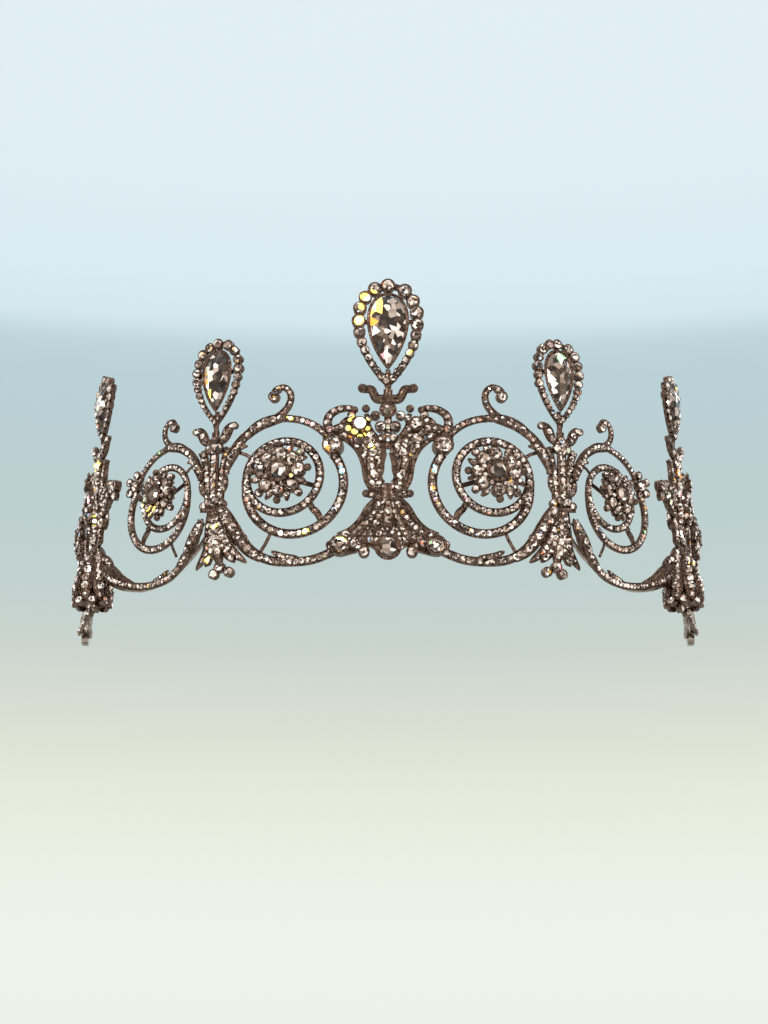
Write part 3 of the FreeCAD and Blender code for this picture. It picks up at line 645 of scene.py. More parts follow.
def evaluated(drawing, name, hand=1, scale=1.0, seed=1, depth=RISE):
    """Runs the tree on a drawing and returns a plain mesh."""
    mesh = bpy.data.meshes.new(name)
    spots = [(x * hand * scale, y * scale, z * scale) for x, y, z in drawing.points]
    mesh.from_pydata(spots, drawing.edges, [])
    for label, values, kind in (("half", [h * scale for h in drawing.halves], "FLOAT"),
                                ("size", [s * scale for s in drawing.sizes], "FLOAT"),
                                ("kind", drawing.kinds, "INT")):
        mesh.attributes.new(label, kind, "POINT").data.foreach_set("value", values)
    blank = bpy.data.objects.new(name, mesh)
    bpy.context.collection.objects.link(blank)
    work = blank.modifiers.new("work", "NODES")
    work.node_group = WORK
    for label, value in (("Metal", SETTING_METAL), ("Stone", SMALL_STONE), ("Seed", seed),
                         ("Band Depth", depth)):
        work[input_name(WORK, label)] = value
    graph = bpy.context.evaluated_depsgraph_get()
    made = bpy.data.meshes.new_from_object(blank.evaluated_get(graph), depsgraph=graph)
    bpy.data.objects.remove(blank)
    return made


def sawn_plate(outline, low, high, edge=0.3):
    """A plate with a softened front edge."""
    shape = bmesh.new()
    area = sum(x0 * y1 - x1 * y0 for (x0, y0), (x1, y1) in zip(outline, outline[1:] + outline[:1]))
    ring = outline if area > 0 else outline[::-1]
    face = shape.faces.new([shape.verts.new((x, y, high)) for x, y in ring])
    walls = bmesh.ops.extrude_face_region(shape, geom=[face])
    back = [v for v in walls["geom"] if isinstance(v, bmesh.types.BMVert)]
    bmesh.ops.translate(shape, verts=back, vec=(0, 0, low - high))
    bmesh.ops.recalc_face_normals(shape, faces=shape.faces)
    rim = [e for e in shape.edges if all(abs(v.co.z - high) < 1e-6 for v in e.verts)]
    bmesh.ops.bevel(shape, geom=rim, offset=edge, segments=2, affect="EDGES")
    return shape


def add_plates(mesh, plates, hand, scale):
    """Joins the sawn plates of a drawing to its mesh."""
    joined = bmesh.new()
    joined.from_mesh(mesh)
    metal_slot = list(mesh.materials).index(SETTING_METAL)
    for outline, low, high in plates:
        shape = sawn_plate([(x * hand * scale, y * scale) for x, y in outline], low * scale, high * scale)
        for face in shape.faces:
            face.material_index = metal_slot
        flat = bpy.data.meshes.new("plate")
        shape.to_mesh(flat)
        shape.free()
        joined.from_mesh(flat)
        bpy.data.meshes.remove(flat)
    joined.to_mesh(mesh)
    joined.free()


def finish_piece(name, mesh, body, nodes):
    """Says which body a piece rides on and which CAD nodes it replaces."""
    made = bpy.data.objects.new(name, mesh)
    bpy.context.collection.objects.link(made)
    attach(made, body)
    if nodes:
        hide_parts(*nodes)


def make(name, drawing, place, body="frame", nodes=(), hand=1, scale=1.0, seed=1, depth=RISE):
    """Works a drawing up and stands it in its place."""
    mesh = evaluated(drawing, name, hand, scale, seed, depth)
    if drawing.plates:
        add_plates(mesh, drawing.plates, hand, scale)
    mesh.transform(place)
    mesh.update()
    finish_piece(name, mesh, body, nodes)


print("tree inputs:", [s.name for s in WORK.interface.items_tree if s.in_out == "INPUT"])

# %% [markdown]
# ## Cut stones of their own
# The larger stones are brilliants: a table, a ring of star faces, kites and girdle faces.
# One function cuts any outline, round or pear, from eight or more main faces.

# %% Brilliant cut
def round_outline(radius):
    """An outline is a function from an angle to a point."""
    return lambda t: (radius * math.sin(t), radius * math.cos(t))


def pear_outline(wide, tall):
    def point(t):
        y = math.cos(t)
        belly = math.sin(t) * (0.5 + 0.5 * y) ** 0.42 / 0.797
        return (-wide * 0.5 * belly, tall * 0.5 * y)
    return point


def brilliant(outline, main=8, crown=0.9, pavilion=1.4, table=0.56):
    """A brilliant over an outline, with its girdle on z = 0; returns a bmesh."""
    shape = bmesh.new()

    def ring(count, offset, k, z):
        spots = [outline((j + offset) * 2 * math.pi / count) for j in range(count)]
        return [shape.verts.new((x * k, y * k, z)) for x, y in spots]

    top = ring(main, 0.0, table, crown)
    mid = ring(main, 0.5, 0.79, crown * 0.62)
    girdle = ring(main * 2, 0.0, 1.0, 0.0)
    low = ring(main * 2, 0.0, 1.0, -0.12)
    culet = shape.verts.new((0, outline(0)[1] * 0.12, -pavilion))
    shape.faces.new(top)
    for j in range(main):
        after = (j + 1) % main
        g0, g1, g2 = girdle[2 * j], girdle[2 * j + 1], girdle[(2 * j + 2) % (2 * main)]
        shape.faces.new((top[j], mid[j], top[after]))
        shape.faces.new((top[j], g0, mid[j]))
        shape.faces.new((top[after], mid[j], g2))
        shape.faces.new((mid[j], g0, g1))
        shape.faces.new((mid[j], g1, g2))
    for j in range(2 * main):
        after = (j + 1) % (2 * main)
        shape.faces.new((girdle[j], low[j], low[after], girdle[after]))
        shape.faces.new((low[j], culet, low[after]))
    bmesh.ops.recalc_face_normals(shape, faces=shape.faces)
    return shape


def stone_piece(name, shape, place, body, nodes, lift=(0, 0, 0)):
    """Stands a cut stone in its place."""
    mesh = bpy.data.meshes.new(name)
    bmesh.ops.translate(shape, verts=shape.verts, vec=lift)
    shape.to_mesh(mesh)
    shape.free()
    mesh.materials.append(LARGE_STONE)
    mesh.transform(place)
    finish_piece(name, mesh, body, nodes)


print("faces of a round brilliant:", len(brilliant(round_outline(1.0)).faces))

# %% [markdown]
# ## The scroll panels
# Three wheels stand on each side of the centre. Each has a ring, a scroll that runs round it
# and into it, an arch with a curl above, and a leaf swag below. They are one design in three
# sizes, turned over from one panel to the next, so the drawing is made once.

# %% Wheel, arch and swag drawings
RING, RING_RADIUS, SCROLL_RADIUS = (2.8, 2.55), 8.75, 11.55
ARCH = (3.2, 3.3, 13.7)


def wheel_drawing():
    work = Drawing()
    work.set_band(arc_line(*RING, RING_RADIUS, 0, 353, 6), 0.98, closed=True)
    scroll = arc_line(0, 0, SCROLL_RADIUS, 142, 352, 6) + [(11.55, 0.6), (11.6, 2.4)]
    work.set_band(scroll, 1.08)
    work.leaf([(-6.4, -9.6), (-5.6, -7.2), (-4.2, -5.6), (-3.4, -4.2)], 0.8, stones=False)
    work.setting(-3.9, -5.0, 0.85, BEAD, 0.2)
    work.band([(10.2, 7.6), (11.9, 8.8), (13.9, 9.6)], 0.34)
    work.band([(5.4, -10.4), (6.4, -12.8), (7.9, -15.4)], 0.34)
    work.band([(-5.0, -0.2), RING, (10.6, 5.3)], 0.5, z=-0.3)
    return work


def arch_drawing():
    work = Drawing()
    work.set_band(arc_line(*ARCH, 143, 96, 5), 0.86)
    work.band(arc_line(*ARCH, 96, 12, 5) + [(16.5, 4.4)], 0.8)
    work.leaf([(1.0, 17.2), (4.6, 16.9), (8.6, 15.7), (11.8, 13.2), (14.2, 10.2)], 1.35, z=0.25, peak=0.4)
    work.leaf([(11.8, 13.0), (14.2, 10.2), (15.8, 7.2), (16.6, 4.2)], 1.3, z=0.2)
    curl = through([(5.8, 16.6), (3.0, 18.6), (1.5, 20.8), (1.4, 23.2), (2.9, 24.9), (4.9, 24.6),
                    (5.8, 23.2)])
    work.band(curl, lambda s: 0.95 - 0.35 * s)
    work.row(curl[4:-6], 0.42, 1.25, z=0.5)
    work.setting(5.3, 22.7, 1.35, COLLET, 0.8)
    work.setting(4.2, 24.4, 0.85, COLLET, 0.8)
    work.leaf([(-8.4, 12.4), (-7.8, 10.8), (-8.4, 9.4)], 1.2, z=0.3)
    work.leaf([(15.2, 8.4), (13.6, 10.2), (11.4, 10.8)], 0.6, z=0.4)
    return work


SWAG_RUNS = {"one": [(-10.6, -15.9), (-5.0, -17.9)], "three": [(-16.5, -17.4), (-5.0, -17.9)],
             "two": [(-23.6, -8.4), (-18.5, -12.4), (-12.5, -15.8), (-6.0, -17.7)]}


def swag_drawing(word):
    """The middle swag runs on past its wheel, up to the next bell flower."""
    work = Drawing()
    sweep = [(0, -18.25), (5.6, -17.5), (10.0, -14.9), (13.2, -10.6), (15.6, -6.6), (17.6, -4.2)]
    work.set_band(through(SWAG_RUNS[word] + sweep), lambda s: 1.05 + 0.55 * max(0.0, s - 0.45))
    work.leaf([(7.4, -17.6), (10.2, -15.2), (12.4, -12.4), (11.2, -11.2)], 1.5, z=0.35, peak=0.5)
    work.leaf([(11.6, -14.2), (13.6, -10.8), (15.4, -7.4), (16.4, -4.2)], 1.75, z=0.4)
    work.leaf([(13.2, -13.4), (15.4, -10.0), (17.2, -6.6)], 1.0, z=0.1, stones=False)
    work.leaf([(15.2, -9.6), (16.8, -6.6), (18.0, -3.6)], 1.2, z=0.2)
    work.leaf([(-1.0, -17.4), (2.2, -17.0), (5.2, -15.4)], 0.8, z=0.3)
    if word == "two":
        work.leaf([(-24.0, -7.6), (-19.0, -10.2), (-14.0, -14.2), (-8.0, -16.8)], 1.8, z=0.35, stones=False)
        work.leaf([(-22.6, -10.4), (-18.0, -13.2), (-13.0, -15.6), (-7.0, -17.4)], 1.1, z=0.6)
        work.leaf([(-23.6, -5.6), (-20.4, -7.2), (-17.6, -10.4)], 1.3, z=0.3)
    return work


def crowd(word, wheel_work, arch_work):
    """The outer panels carry more collets, and stand them further forward."""
    if word == "two":
        for x, y, radius in ((-9.4, 8.8, 1.7), (-11.4, 7.2, 1.3), (-8.6, 11.8, 1.2), (-11.6, 10.4, 1.2)):
            arch_work.setting(x, y, radius, COLLET, 1.4)
    if word == "three":
        arch_work.row(arc_line(*ARCH, 140, 20, 8), 1.35, 2.9, COLLET, 2.2)
        wheel_work.row(arc_line(0, 0, SCROLL_RADIUS, 150, 330, 8), 1.35, 2.9, COLLET, 2.0)
        arch_work.leaf([(1.0, 17.0), (3.0, 21.0), (2.6, 26.0)], 1.8, z=1.6)


PANELS = [("one", 21.7, 1.0, (0.0, 41.5), 1), ("two", 59.2, 0.86, (41.5, 83.5), -1),
          ("three", 97.0, 0.76, (83.5, 107.5), -1)]
panels = []
for word, arc, scale, (near, far), turn in PANELS:
    for side, sign in SIDES:
        name, span, hand = f"{side}_{word}", (near * sign, far * sign, arc * sign), sign * turn
        place, seed = stand_between(*span, WHEEL_HEIGHT), 11 + int(arc) + sign
        panels.append((name, place, scale, hand, int(arc), sign))
        wheel_work, arch_work = wheel_drawing(), arch_drawing()
        crowd(word, wheel_work, arch_work)
        # the swag hangs to the base whatever the size of the wheel over it
        low = stand_between(*span, WHEEL_HEIGHT * scale)
        for k, (kind, work, where) in enumerate((("scroll", wheel_work, place), ("arch", arch_work, place),
                                                 ("swag", swag_drawing(word), low))):
            make(f"{kind}_work_{name}", work, where, nodes=[f"{kind}_{name}"], hand=hand, scale=scale,
                 seed=seed + k)
print("panels:", len(panels))

# %% [markdown]
# ## The flower heads
# A flower head stands on a stalk in front of its ring and trembles when the wearer moves.
# Round the hub stand eight set petals, and outside them eight pointed leaves and eight beads.

# %% Flower drawing
def flower_drawing(seed):
    """Eight petals round a hub, each a little out of true."""
    chance = random.Random(seed)
    work = Drawing()
    for k in range(8):
        turn = math.radians(45 * k + chance.uniform(-6, 6))
        half_turn = turn + math.radians(22.5 + chance.uniform(-4, 4))
        x, y = math.cos(turn), math.sin(turn)
        u, v = math.cos(half_turn), math.sin(half_turn)
        lift = chance.uniform(-0.3, 0.4)
        work.band([(2.6 * x, 2.6 * y), (7.0 * x, 7.0 * y)], 0.32, z=3.1)
        work.setting(4.3 * x, 4.3 * y, 1.72 + chance.uniform(-0.2, 0.12), COLLET, 3.9 + lift)
        work.setting(6.7 * x, 6.7 * y, 0.95, COLLET if k % 2 else BEAD, 3.5 + lift)
        work.leaf([(4.6 * u, 4.6 * v), (5.8 * u, 5.8 * v), (7.2 * u + 0.5 * v, 7.2 * v - 0.5 * u)], 0.72,
                  z=3.3 + lift)
        work.setting(5.8 * u, 5.8 * v, 0.72, COLLET, 3.9 + lift)
        work.setting(3.25 * u, 3.25 * v, 0.7, COLLET, 4.5)
    work.band(arc_line(0, 0, 2.3, 0, 345, 15), 0.42, closed=True, z=4.75)
    for k in range(10):
        turn = math.radians(36 * k + chance.uniform(-8, 8))
        work.setting(2.45 * math.cos(turn), 2.45 * math.sin(turn), 0.36, BEAD, 5.0)
    work.plate(arc_line(0, 0, 3.2, 0, 340, 20), 2.6, 3.2)
    work.plate(arc_line(0, 0, 0.42, 0, 330, 30), 0.2, 3.0)
    work.plate(arc_line(0, 0, 2.1, 0, 340, 20), 3.1, 4.6)
    return work


for name, place, scale, hand, arc, sign in panels:
    hub = place @ Matrix.Translation((RING[0] * hand * scale, RING[1] * scale, 0))
    make(f"flower_work_{name}", flower_drawing(arc + sign), hub, f"flower_{name}", [f"flower_{name}"],
         scale=scale, seed=arc + 5 * sign)
    stone = brilliant(round_outline(2.15 * scale), 8, 0.85 * scale, 1.2 * scale)
    stone_piece(f"flower_brilliant_{name}", stone, hub, f"flower_{name}", [f"flower_stone_{name}"],
                (0, 0, 4.6 * scale))
print("flowers:", len(panels))

# %% [markdown]
# ## The pear finials
# Each finial is a pear stone in a fine bezel, with an open gap and a halo of round stones
# outside it. A pin below plugs into the station, so that the finials can be taken off.

# %% Pear finials
def pear_line(wide, tall, count=48):
    outline = pear_outline(wide, tall)
    return [outline(2 * math.pi * k / count) for k in range(count)]


def pear_drawing(wide, tall, halo):
    """halo is the radius of a halo stone at the top; they get smaller towards the point."""
    work = Drawing()

    def radius_at(y):
        share = min(1.0, max(0.0, (y / tall + 0.28) / 0.42))
        return halo * (0.56 + 0.44 * share)

    line = [(x * (1 - 2 * radius_at(y) / wide), y * (1 - 1.6 * radius_at(y) / tall))
            for x, y in pear_line(wide, tall)]
    work.band(line, 0.5 * halo, closed=True, z=-0.2)
    placed = []
    for x, y, share in spaced(line, 0.1, closed=True, margin=0.0):
        here = radius_at(y)
        clear = not placed or math.dist(placed[-1][:2], (x, y)) >= (here + placed[-1][2]) * 0.97
        if clear and (share < 0.5 or math.dist(placed[0][:2], (x, y)) > here):
            size = here * random.uniform(0.95, 1.07)
            work.setting(x, y, size, COLLET, 0.6 + random.uniform(-0.15, 0.25))
            placed.append((x, y, here))
    bezel = [(x, y + tall * 0.015) for x, y in pear_line(wide * 0.54, tall * 0.70)]
    work.band(bezel, 0.3, closed=True, z=0.55)
    point = -tall * 0.5
    for start, end in (((0, -tall * 0.34), (0, point - 1.6)), ((0, tall * 0.36), (0, tall * 0.45)),
                       ((-wide * 0.25, tall * 0.1), (-wide * 0.38, tall * 0.12)),
                       ((wide * 0.25, tall * 0.1), (wide * 0.38, tall * 0.12))):
        work.band(through([start, end], 3), 0.5, z=-0.3)
    work.leaf([(0, -tall * 0.38), (0, -tall * 0.44), (0, point - 0.8)], 0.9, start=0.7, end=0.5,
              stones=False)
    return work


PEARS = [("centre", 0.0, 44.5, 17.0, 27.0, 1.62), ("left_one", -41.5, 38.3, 13.6, 21.7, 1.2),
         ("right_one", 41.5, 38.3, 13.6, 21.7, 1.2), ("left_two", -83.5, 45.2, 10.9, 17.2, 1.25),
         ("right_two", 83.5, 45.2, 10.9, 17.2, 1.25)]
for k, (name, arc, bottom, wide, tall, halo) in enumerate(PEARS):
    place, body = stand(arc, bottom + tall / 2), f"finial_{name}"
    make(f"pear_work_{name}", pear_drawing(wide, tall, halo), place, body, seed=30 + k)
    stone = brilliant(pear_outline(wide * 0.5, tall * 0.67), 11, 1.25, 1.5, 0.5)
    stone_piece(f"pear_brilliant_{name}", stone, place, body, [f"pear_stone_{name}"],
                (0, tall * 0.015, 0.55))
    pin = Drawing()
    pin.band([(0, -tall / 2 - 1.9), (0, -tall / 2 + 0.4)], 0.5)
    make(f"pear_pin_{name}", pin, place, body, [f"pear_frame_{name}"], seed=3, depth=1.0)
print("finials:", len(PEARS))

# %% [markdown]
# ## The stations
# Between two wheels the scrolls come together in a tied bundle. Above the knot it ends in
# two leaves under the pear; below it, it opens into a bell flower with beads.

# %% Station drawing
KNOT = 17.3


def station_drawing(bottom, spread, lean):
    """bottom is the foot of the pear; the tail leans by lean towards the centre at its foot."""
    work = Drawing()
    leaf_low = bottom - 4.6

    def tail(*points):
        return [(x + work.hand * lean * max(0.0, KNOT - y) / KNOT, y) for x, y in points]

    for hand in work.both_hands():
        strand = [(1.5, 18.6), (1.7, 22.0), (2.0, 25.5), (2.7, leaf_low - 4.0), (3.6, leaf_low - 1.6)]
        work.set_band(through(strand), 0.98, z=-0.1)
        work.leaf([(0.2, leaf_low - 0.8), (2.4, leaf_low + 0.6), (3.6, leaf_low + 2.8),
                   (4.9 * spread, leaf_low + 4.1)], 1.25, z=0.3, peak=0.55, end=0.4)
        work.setting(5.2 * spread, leaf_low + 3.5, 0.85, z=0.8)
        work.setting(1.25, leaf_low - 1.7, 1.15, z=1.1)
        work.leaf([(2.0, 20.5), (3.0, 22.6), (3.4, 25.0)], 0.8, z=0.4)
        work.leaf(tail((1.1, 17.4), (1.6, 12.5), (2.9, 7.2), (6.6 * spread, 3.0)), 1.35, z=0.2, peak=0.55)
        work.leaf(tail((0.5, 16.8), (1.0, 10.5), (2.0, 6.2), (3.9, 3.4)), 1.25, z=0.5, peak=0.55)
        work.setting(*tail((2.0, 1.25))[0], 1.2, z=1.0)
        work.setting(*tail((3.2, 4.6))[0], 1.0, z=1.1)
        work.setting(2.6, 18.2, 0.95)
        work.setting(0.95, 18.9, 1.0, z=1.3)
    work.set_band([(0, 18.0), (0, 24.0), (0, leaf_low - 0.4)], 1.15, z=0.3)
    work.leaf(tail((0, 16.8), (0, 9.5), (0, 2.6)), 1.5, z=0.7, peak=0.6)
    work.setting(*tail((0, 2.6))[0], 1.3, z=1.5)
    work.setting(*tail((0, 6.2))[0], 1.15, z=1.5)
    work.setting(0, leaf_low + 0.4, 1.0, z=1.0)
    work.band([(-3.2, 17.5), (0, 17.0), (3.2, 17.5)], 0.7, z=0.5)
    work.band([(0, leaf_low - 1), (0, bottom - 1.8)], 0.92)
    return work


def fill_out(work):
    """The dense setting of an outer station."""
    for hand in work.both_hands():
        work.leaf([(1.0, 17.0), (3.6, 14.0), (4.6, 9.6), (3.4, 5.4)], 1.5, z=0.1)
        work.leaf([(1.6, 26.0), (3.8, 28.4), (4.2, 32.0)], 1.2, z=0.2)
        work.leaf([(1.2, 32.0), (3.2, 35.0), (3.0, 38.6)], 1.1, z=0.2)
        work.setting(3.4, 22.4, 1.5, z=0.8)
        work.setting(2.8, 30.6, 1.1, z=1.0)


def arm(work, hand):
    """Two leaves and a few collets that reach from an outer station towards the centre."""
    work.hand = hand
    work.leaf([(1.2, 23.4), (5.0, 25.4), (9.4, 28.6), (12.6, 29.6)], 1.5, z=0.3, end=0.8, peak=0.6)
    work.leaf([(1.2, 27.4), (4.4, 29.2), (7.2, 32.4)], 1.2, z=0.4)
    for x, y, radius in ((11.9, 29.3, 1.5), (9.4, 30.6, 1.0), (12.2, 26.6, 1.1), (6.4, 26.4, 1.3)):
        work.setting(x, y, radius, z=1.1)


STATIONS = [("one", 41.5, 38.3, 1.0, 3.0), ("two", 83.5, 45.2, 0.92, 0.0)]
seed = 50
for word, arc, bottom, spread, lean in STATIONS:
    for side, sign in SIDES:
        work = station_drawing(bottom, spread, -lean * sign)
        if word == "two":
            fill_out(work)
            arm(work, -sign)
        make(f"station_work_{side}_{word}", work, stand(arc * sign), nodes=[f"station_{side}_{word}"],
             seed=seed)
        seed += 1
print("stations:", 2 * len(STATIONS))

# %% [markdown]
# The outer stations are round in plan: a bell flower below and a bud above the knot.
# Their petals are drawn flat too, and are then turned round an upright axis.

# %% Bell flowers and buds
def petal_ring(joined, drawing, count, lift, out, tilt, phase, seed):
    """Adds one ring of petals; tilt leans each petal's foot outwards, in degrees."""
    petal = evaluated(drawing, "petal", seed=seed, depth=0.55)
    for k in range(count):
        copy = petal.copy()
        turn = Matrix.Rotation(2 * math.pi * (k + phase) / count, 4, "Y")
        lean = Matrix.Rotation(math.radians(-tilt), 4, "X")
        copy.transform(turn @ Matrix.Translation((0, lift, out)) @ lean)
        joined.from_mesh(copy)
        bpy.data.meshes.remove(copy)
    return petal


def collet(radius):
    """A drawing of one collet."""
    work = Drawing()
    work.setting(0, 0, radius, COLLET, 0.2)
    return work


petal_leaf, bud_leaf = Drawing(), Drawing()
petal_leaf.leaf([(0, 0), (0, -5.0), (0, -9.6), (0.3, -13.4)], 1.75, start=0.5, end=0.3, peak=0.66)
bud_leaf.leaf([(0, 2.6), (0, 0.0), (0, -2.4)], 1.3, start=0.5, end=0.4)
for side, sign in SIDES:
    joined = bmesh.new()
    for drawing, count, lift, out, tilt, phase in (
            (petal_leaf, 8, 15.7, 1.6, 13, 0.0), (collet(1.25), 8, 2.9, 4.2, 14, 0.5),
            (collet(1.0), 8, 7.0, 3.5, 13, 0.5), (collet(1.15), 6, 13.8, 2.2, 8, 0.5),
            (bud_leaf, 6, 24.6, 2.2, 0, 0.0), (collet(1.1), 6, 24.6, 2.5, 0, 0.5),
            (collet(0.9), 6, 22.0, 1.8, -30, 0.0), (collet(0.9), 6, 27.4, 1.7, 30, 0.0)):
        petal = petal_ring(joined, drawing, count, lift, out, tilt, phase, 61)
    core = bmesh.ops.create_cone(joined, segments=20, radius1=4.1, radius2=1.4, depth=13.2, cap_ends=True)
    upright = Matrix.Translation((0, 9.0, 0)) @ Matrix.Rotation(-math.pi / 2, 4, "X")
    bmesh.ops.transform(joined, matrix=upright, verts=core["verts"])
    index = list(petal.materials).index(SETTING_METAL)
    for face in {f for v in core["verts"] for f in v.link_faces}:
        face.material_index = index
    mesh = bpy.data.meshes.new(f"bell_flower_{side}")
    joined.to_mesh(mesh)
    joined.free()
    for material in petal.materials:
        mesh.materials.append(material)
    mesh.transform(stand(83.5 * sign) @ Matrix.Translation((0, 0, 0.7)))
    finish_piece(f"bell_flower_work_{side}", mesh, "frame", [])
print("bell flowers with their buds:", len(SIDES))

# %% [markdown]
# ## The centre motif
# An urn of two large set leaves stands on a collar, over a bell covered in stones.
# Fine volutes curl out of its top and hold a single round stone under the centre pear.

# %% Urn drawing
COLLAR = 17.7
URN_SIDE = [(1.5, 18.4), (4.0, 18.6), (5.2, 21.6), (5.9, 25.6), (7.4, 28.8), (10.0, 31.0), (13.4, 32.6),
            (12.6, 34.6), (9.4, 34.6), (7.0, 33.8), (5.0, 33.6), (2.6, 32.0), (0.5, 30.0), (0.4, 27.8),
            (1.0, 25.2), (1.1, 23.4), (1.7, 21.6), (0.9, 20.2)]
urn = Drawing()
for hand in urn.both_hands():
    urn.plate(URN_SIDE, -0.8, 0.5)
    urn.pave(URN_SIDE, 0.72, 1.5, 0.62)
    urn.band(through([(3.8, 18.6), (5.1, 21.2), (5.8, 25.2), (7.3, 28.6), (10.0, 31.1), (13.2, 32.7)]),
             0.42, z=0.4)
    urn.band(through([(0.9, 20.6), (1.6, 21.8), (1.2, 23.6), (1.1, 25.4), (0.5, 27.8)]), 0.26, z=0.4)
    urn.leaf([(2.4, 20.6), (3.6, 23.4), (4.0, 26.4), (2.8, 29.6)], 1.25, z=0.7)
    urn.leaf([(4.6, 29.6), (7.6, 32.6), (10.4, 33.8), (13.4, 33.4)], 1.3, z=0.8)
    volute = through([(12.6, 32.4), (13.9, 34.6), (13.5, 37.0), (11.6, 38.5), (9.4, 38.9), (7.8, 38.6)])
    urn.band(volute, lambda s: 1.15 - 0.45 * s)
    urn.row(volute[2:-3], lambda s: 0.98 - 0.3 * s, 1.75, COLLET, 0.7)
    urn.band(through([(2.0, 31.0), (4.2, 34.0), (5.0, 37.6)]), 0.5)
    urn.leaf([(3.0, 32.0), (5.6, 34.4), (8.6, 35.8), (11.0, 35.0)], 1.2, z=0.4)
    for x, y, size, kind in ((7.7, 38.2, 0.9, BEAD), (5.1, 38.5, 1.0, BEAD), (2.9, 36.9, 1.1, COLLET),
                             (1.7, 34.2, 1.3, COLLET), (5.0, COLLAR, 0.95, BEAD), (5.9, 43.6, 1.15, BEAD),
                             (3.6, 27.8, 1.3, COLLET), (1.3, 31.4, 1.0, COLLET), (6.9, 31.0, 1.3, COLLET),
                             (3.0, 22.2, 1.2, COLLET), (4.4, 36.2, 0.8, COLLET), (8.4, 36.9, 1.0, COLLET)):
        urn.setting(x, y, size, kind, 1.0)
    urn.band(through([(0, 41.3), (2.3, 41.2), (3.2, 42.2), (3.9, 43.6), (5.6, 43.7)]),
             lambda s: 1.15 - 0.25 * s)
urn.set_band([(-4.6, COLLAR), (0, COLLAR - 0.1), (4.6, COLLAR)], 0.85, z=0.3)
urn.band([(0, 16.6), (0, 20.0)], 2.1)
urn.leaf([(-3.4, 19.2), (0, 19.6), (3.4, 19.2)], 0.7, start=0.5, end=0.5, z=0.5)
urn.band([(0, 29.0), (0, 41.2)], 0.8)
urn.row([(0, 30.5), (0, 36.4)], 0.66, 1.45, z=0.5)
urn.band([(0, 40.0), (0, 43.6)], 1.0)
urn.band(arc_line(0, 38.3, 1.55, 0, 345, 15), 0.4, closed=True, z=0.9)
for hand in urn.both_hands():
    urn.setting(6.5, 34.3, 1.7, COLLET, 2.6)
make("urn_work", urn, stand(0), nodes=["urn"], seed=71)
print("points in the urn drawing:", len(urn.points))

# %% [markdown]
# ## The bell
# The foot of the centre is a bell-shaped plate, paved with stones and edged with a fine band.
# A pave row follows the plate only as far as its edge is clear, so no stone hangs over it.
# Two short pins with wide heads stand out of the plate, and the drops hang on them.

# %% Bell drawing
PIVOT_X, PIVOT_HEIGHT = 5.4, 5.9
bell = Drawing()
left_edge = [(-1.7, 17.4), (-3.5, 15.9), (-4.9, 14.3), (-5.9, 12.4), (-7.2, 10.6), (-9.0, 9.0), (-11.4, 7.9)]
low_edge = [(-12.6, 4.2), (-10.0, 3.2), (-7.2, 4.0), (-4.0, 5.4), (-2.6, 4.4)]
bell_outline = left_edge + low_edge + [(-x, y) for x, y in (left_edge + low_edge)[::-1]]
bell.plate(bell_outline, -0.9, 0.7)
bell.pave(bell_outline, 0.78, 1.62, 0.78)
for hand in bell.both_hands():
    bell.band(through([(-x, y) for x, y in left_edge]), 0.42, z=0.6)
    bell.leaf([(0.8, 15.4), (2.0, 12.0), (3.8, 8.4), (5.2, 6.4)], 1.1, z=0.8)
    bell.leaf([(2.0, 15.2), (4.2, 11.8), (7.4, 8.4), (9.6, 7.2)], 1.2, z=0.7)
    for x, y, radius, lift in ((10.9, 5.2, 2.3, 1.9), (8.0, 5.6, 1.1, 1.5), (13.0, 5.3, 1.0, 1.3),
                               (9.6, 8.0, 1.0, 1.2)):
        bell.setting(x, y, radius, COLLET, lift)
bell.leaf([(0, 16.4), (0, 11.0), (0, 8.2)], 1.5, z=0.9)
bell.band(arc_line(0, 4.55, 2.5, 0, 345, 15), 0.5, closed=True, z=1.9)
bell.plate(arc_line(0, 4.55, 2.4, 0, 340, 20), 0.4, 1.8)
for hand in bell.both_hands():
    bell.plate(arc_line(PIVOT_X, PIVOT_HEIGHT, 0.3, 0, 330, 30), 0.5, 2.75)
    bell.plate(arc_line(PIVOT_X, PIVOT_HEIGHT, 0.6, 0, 330, 30), 2.42, 2.75)
make("bell_work", bell, stand(0), nodes=["bell"], seed=83)
print("plates in the bell drawing:", len(bell.plates))

# %% [markdown]
# ## Drops, flank collets and centre stones
# Each drop hangs on its pin by a small eye and swings, so it is a piece of its own that rides on
# its own body. Its collet stands well forward, to pass in front of the bell's stones.

# %% Hanging drops, flank collets and the stones of the centre
for side, hand in SIDES:
    drop = Drawing()
    drop.band(arc_line(0, 0, 0.68, 0, 330, 30), 0.17, closed=True, z=1.75)
    drop.band([(0, -0.6), (0, -1.6)], 0.34, z=1.75)
    drop.setting(0, -2.75, 1.3, COLLET, 3.1)
    place = stand(0, PIVOT_HEIGHT) @ Matrix.Translation((hand * PIVOT_X, 0, 0))
    make(f"hanging_work_{side}", drop, place, f"drop_{side}",
         [f"hanging_drop_{side}", f"hanging_stone_{side}"], seed=90 + hand)
    flank = Drawing()
    for x, y, radius, lift in ((-9.2, 9.0, 2.35, 2.2), (-8.6, 12.4, 1.2, 1.5), (-10.9, 11.0, 0.9, 1.4)):
        flank.setting(x, y, radius, COLLET, lift)
    flank.plate(arc_line(-9.2, 9.0, 2.2, 0, 340, 20), -0.9, 1.0)
    place = next(panel[1] for panel in panels if panel[0] == f"{side}_one")
    make(f"flank_work_{side}", flank, place, nodes=[f"flank_collet_{side}"], hand=hand, seed=95 + hand)

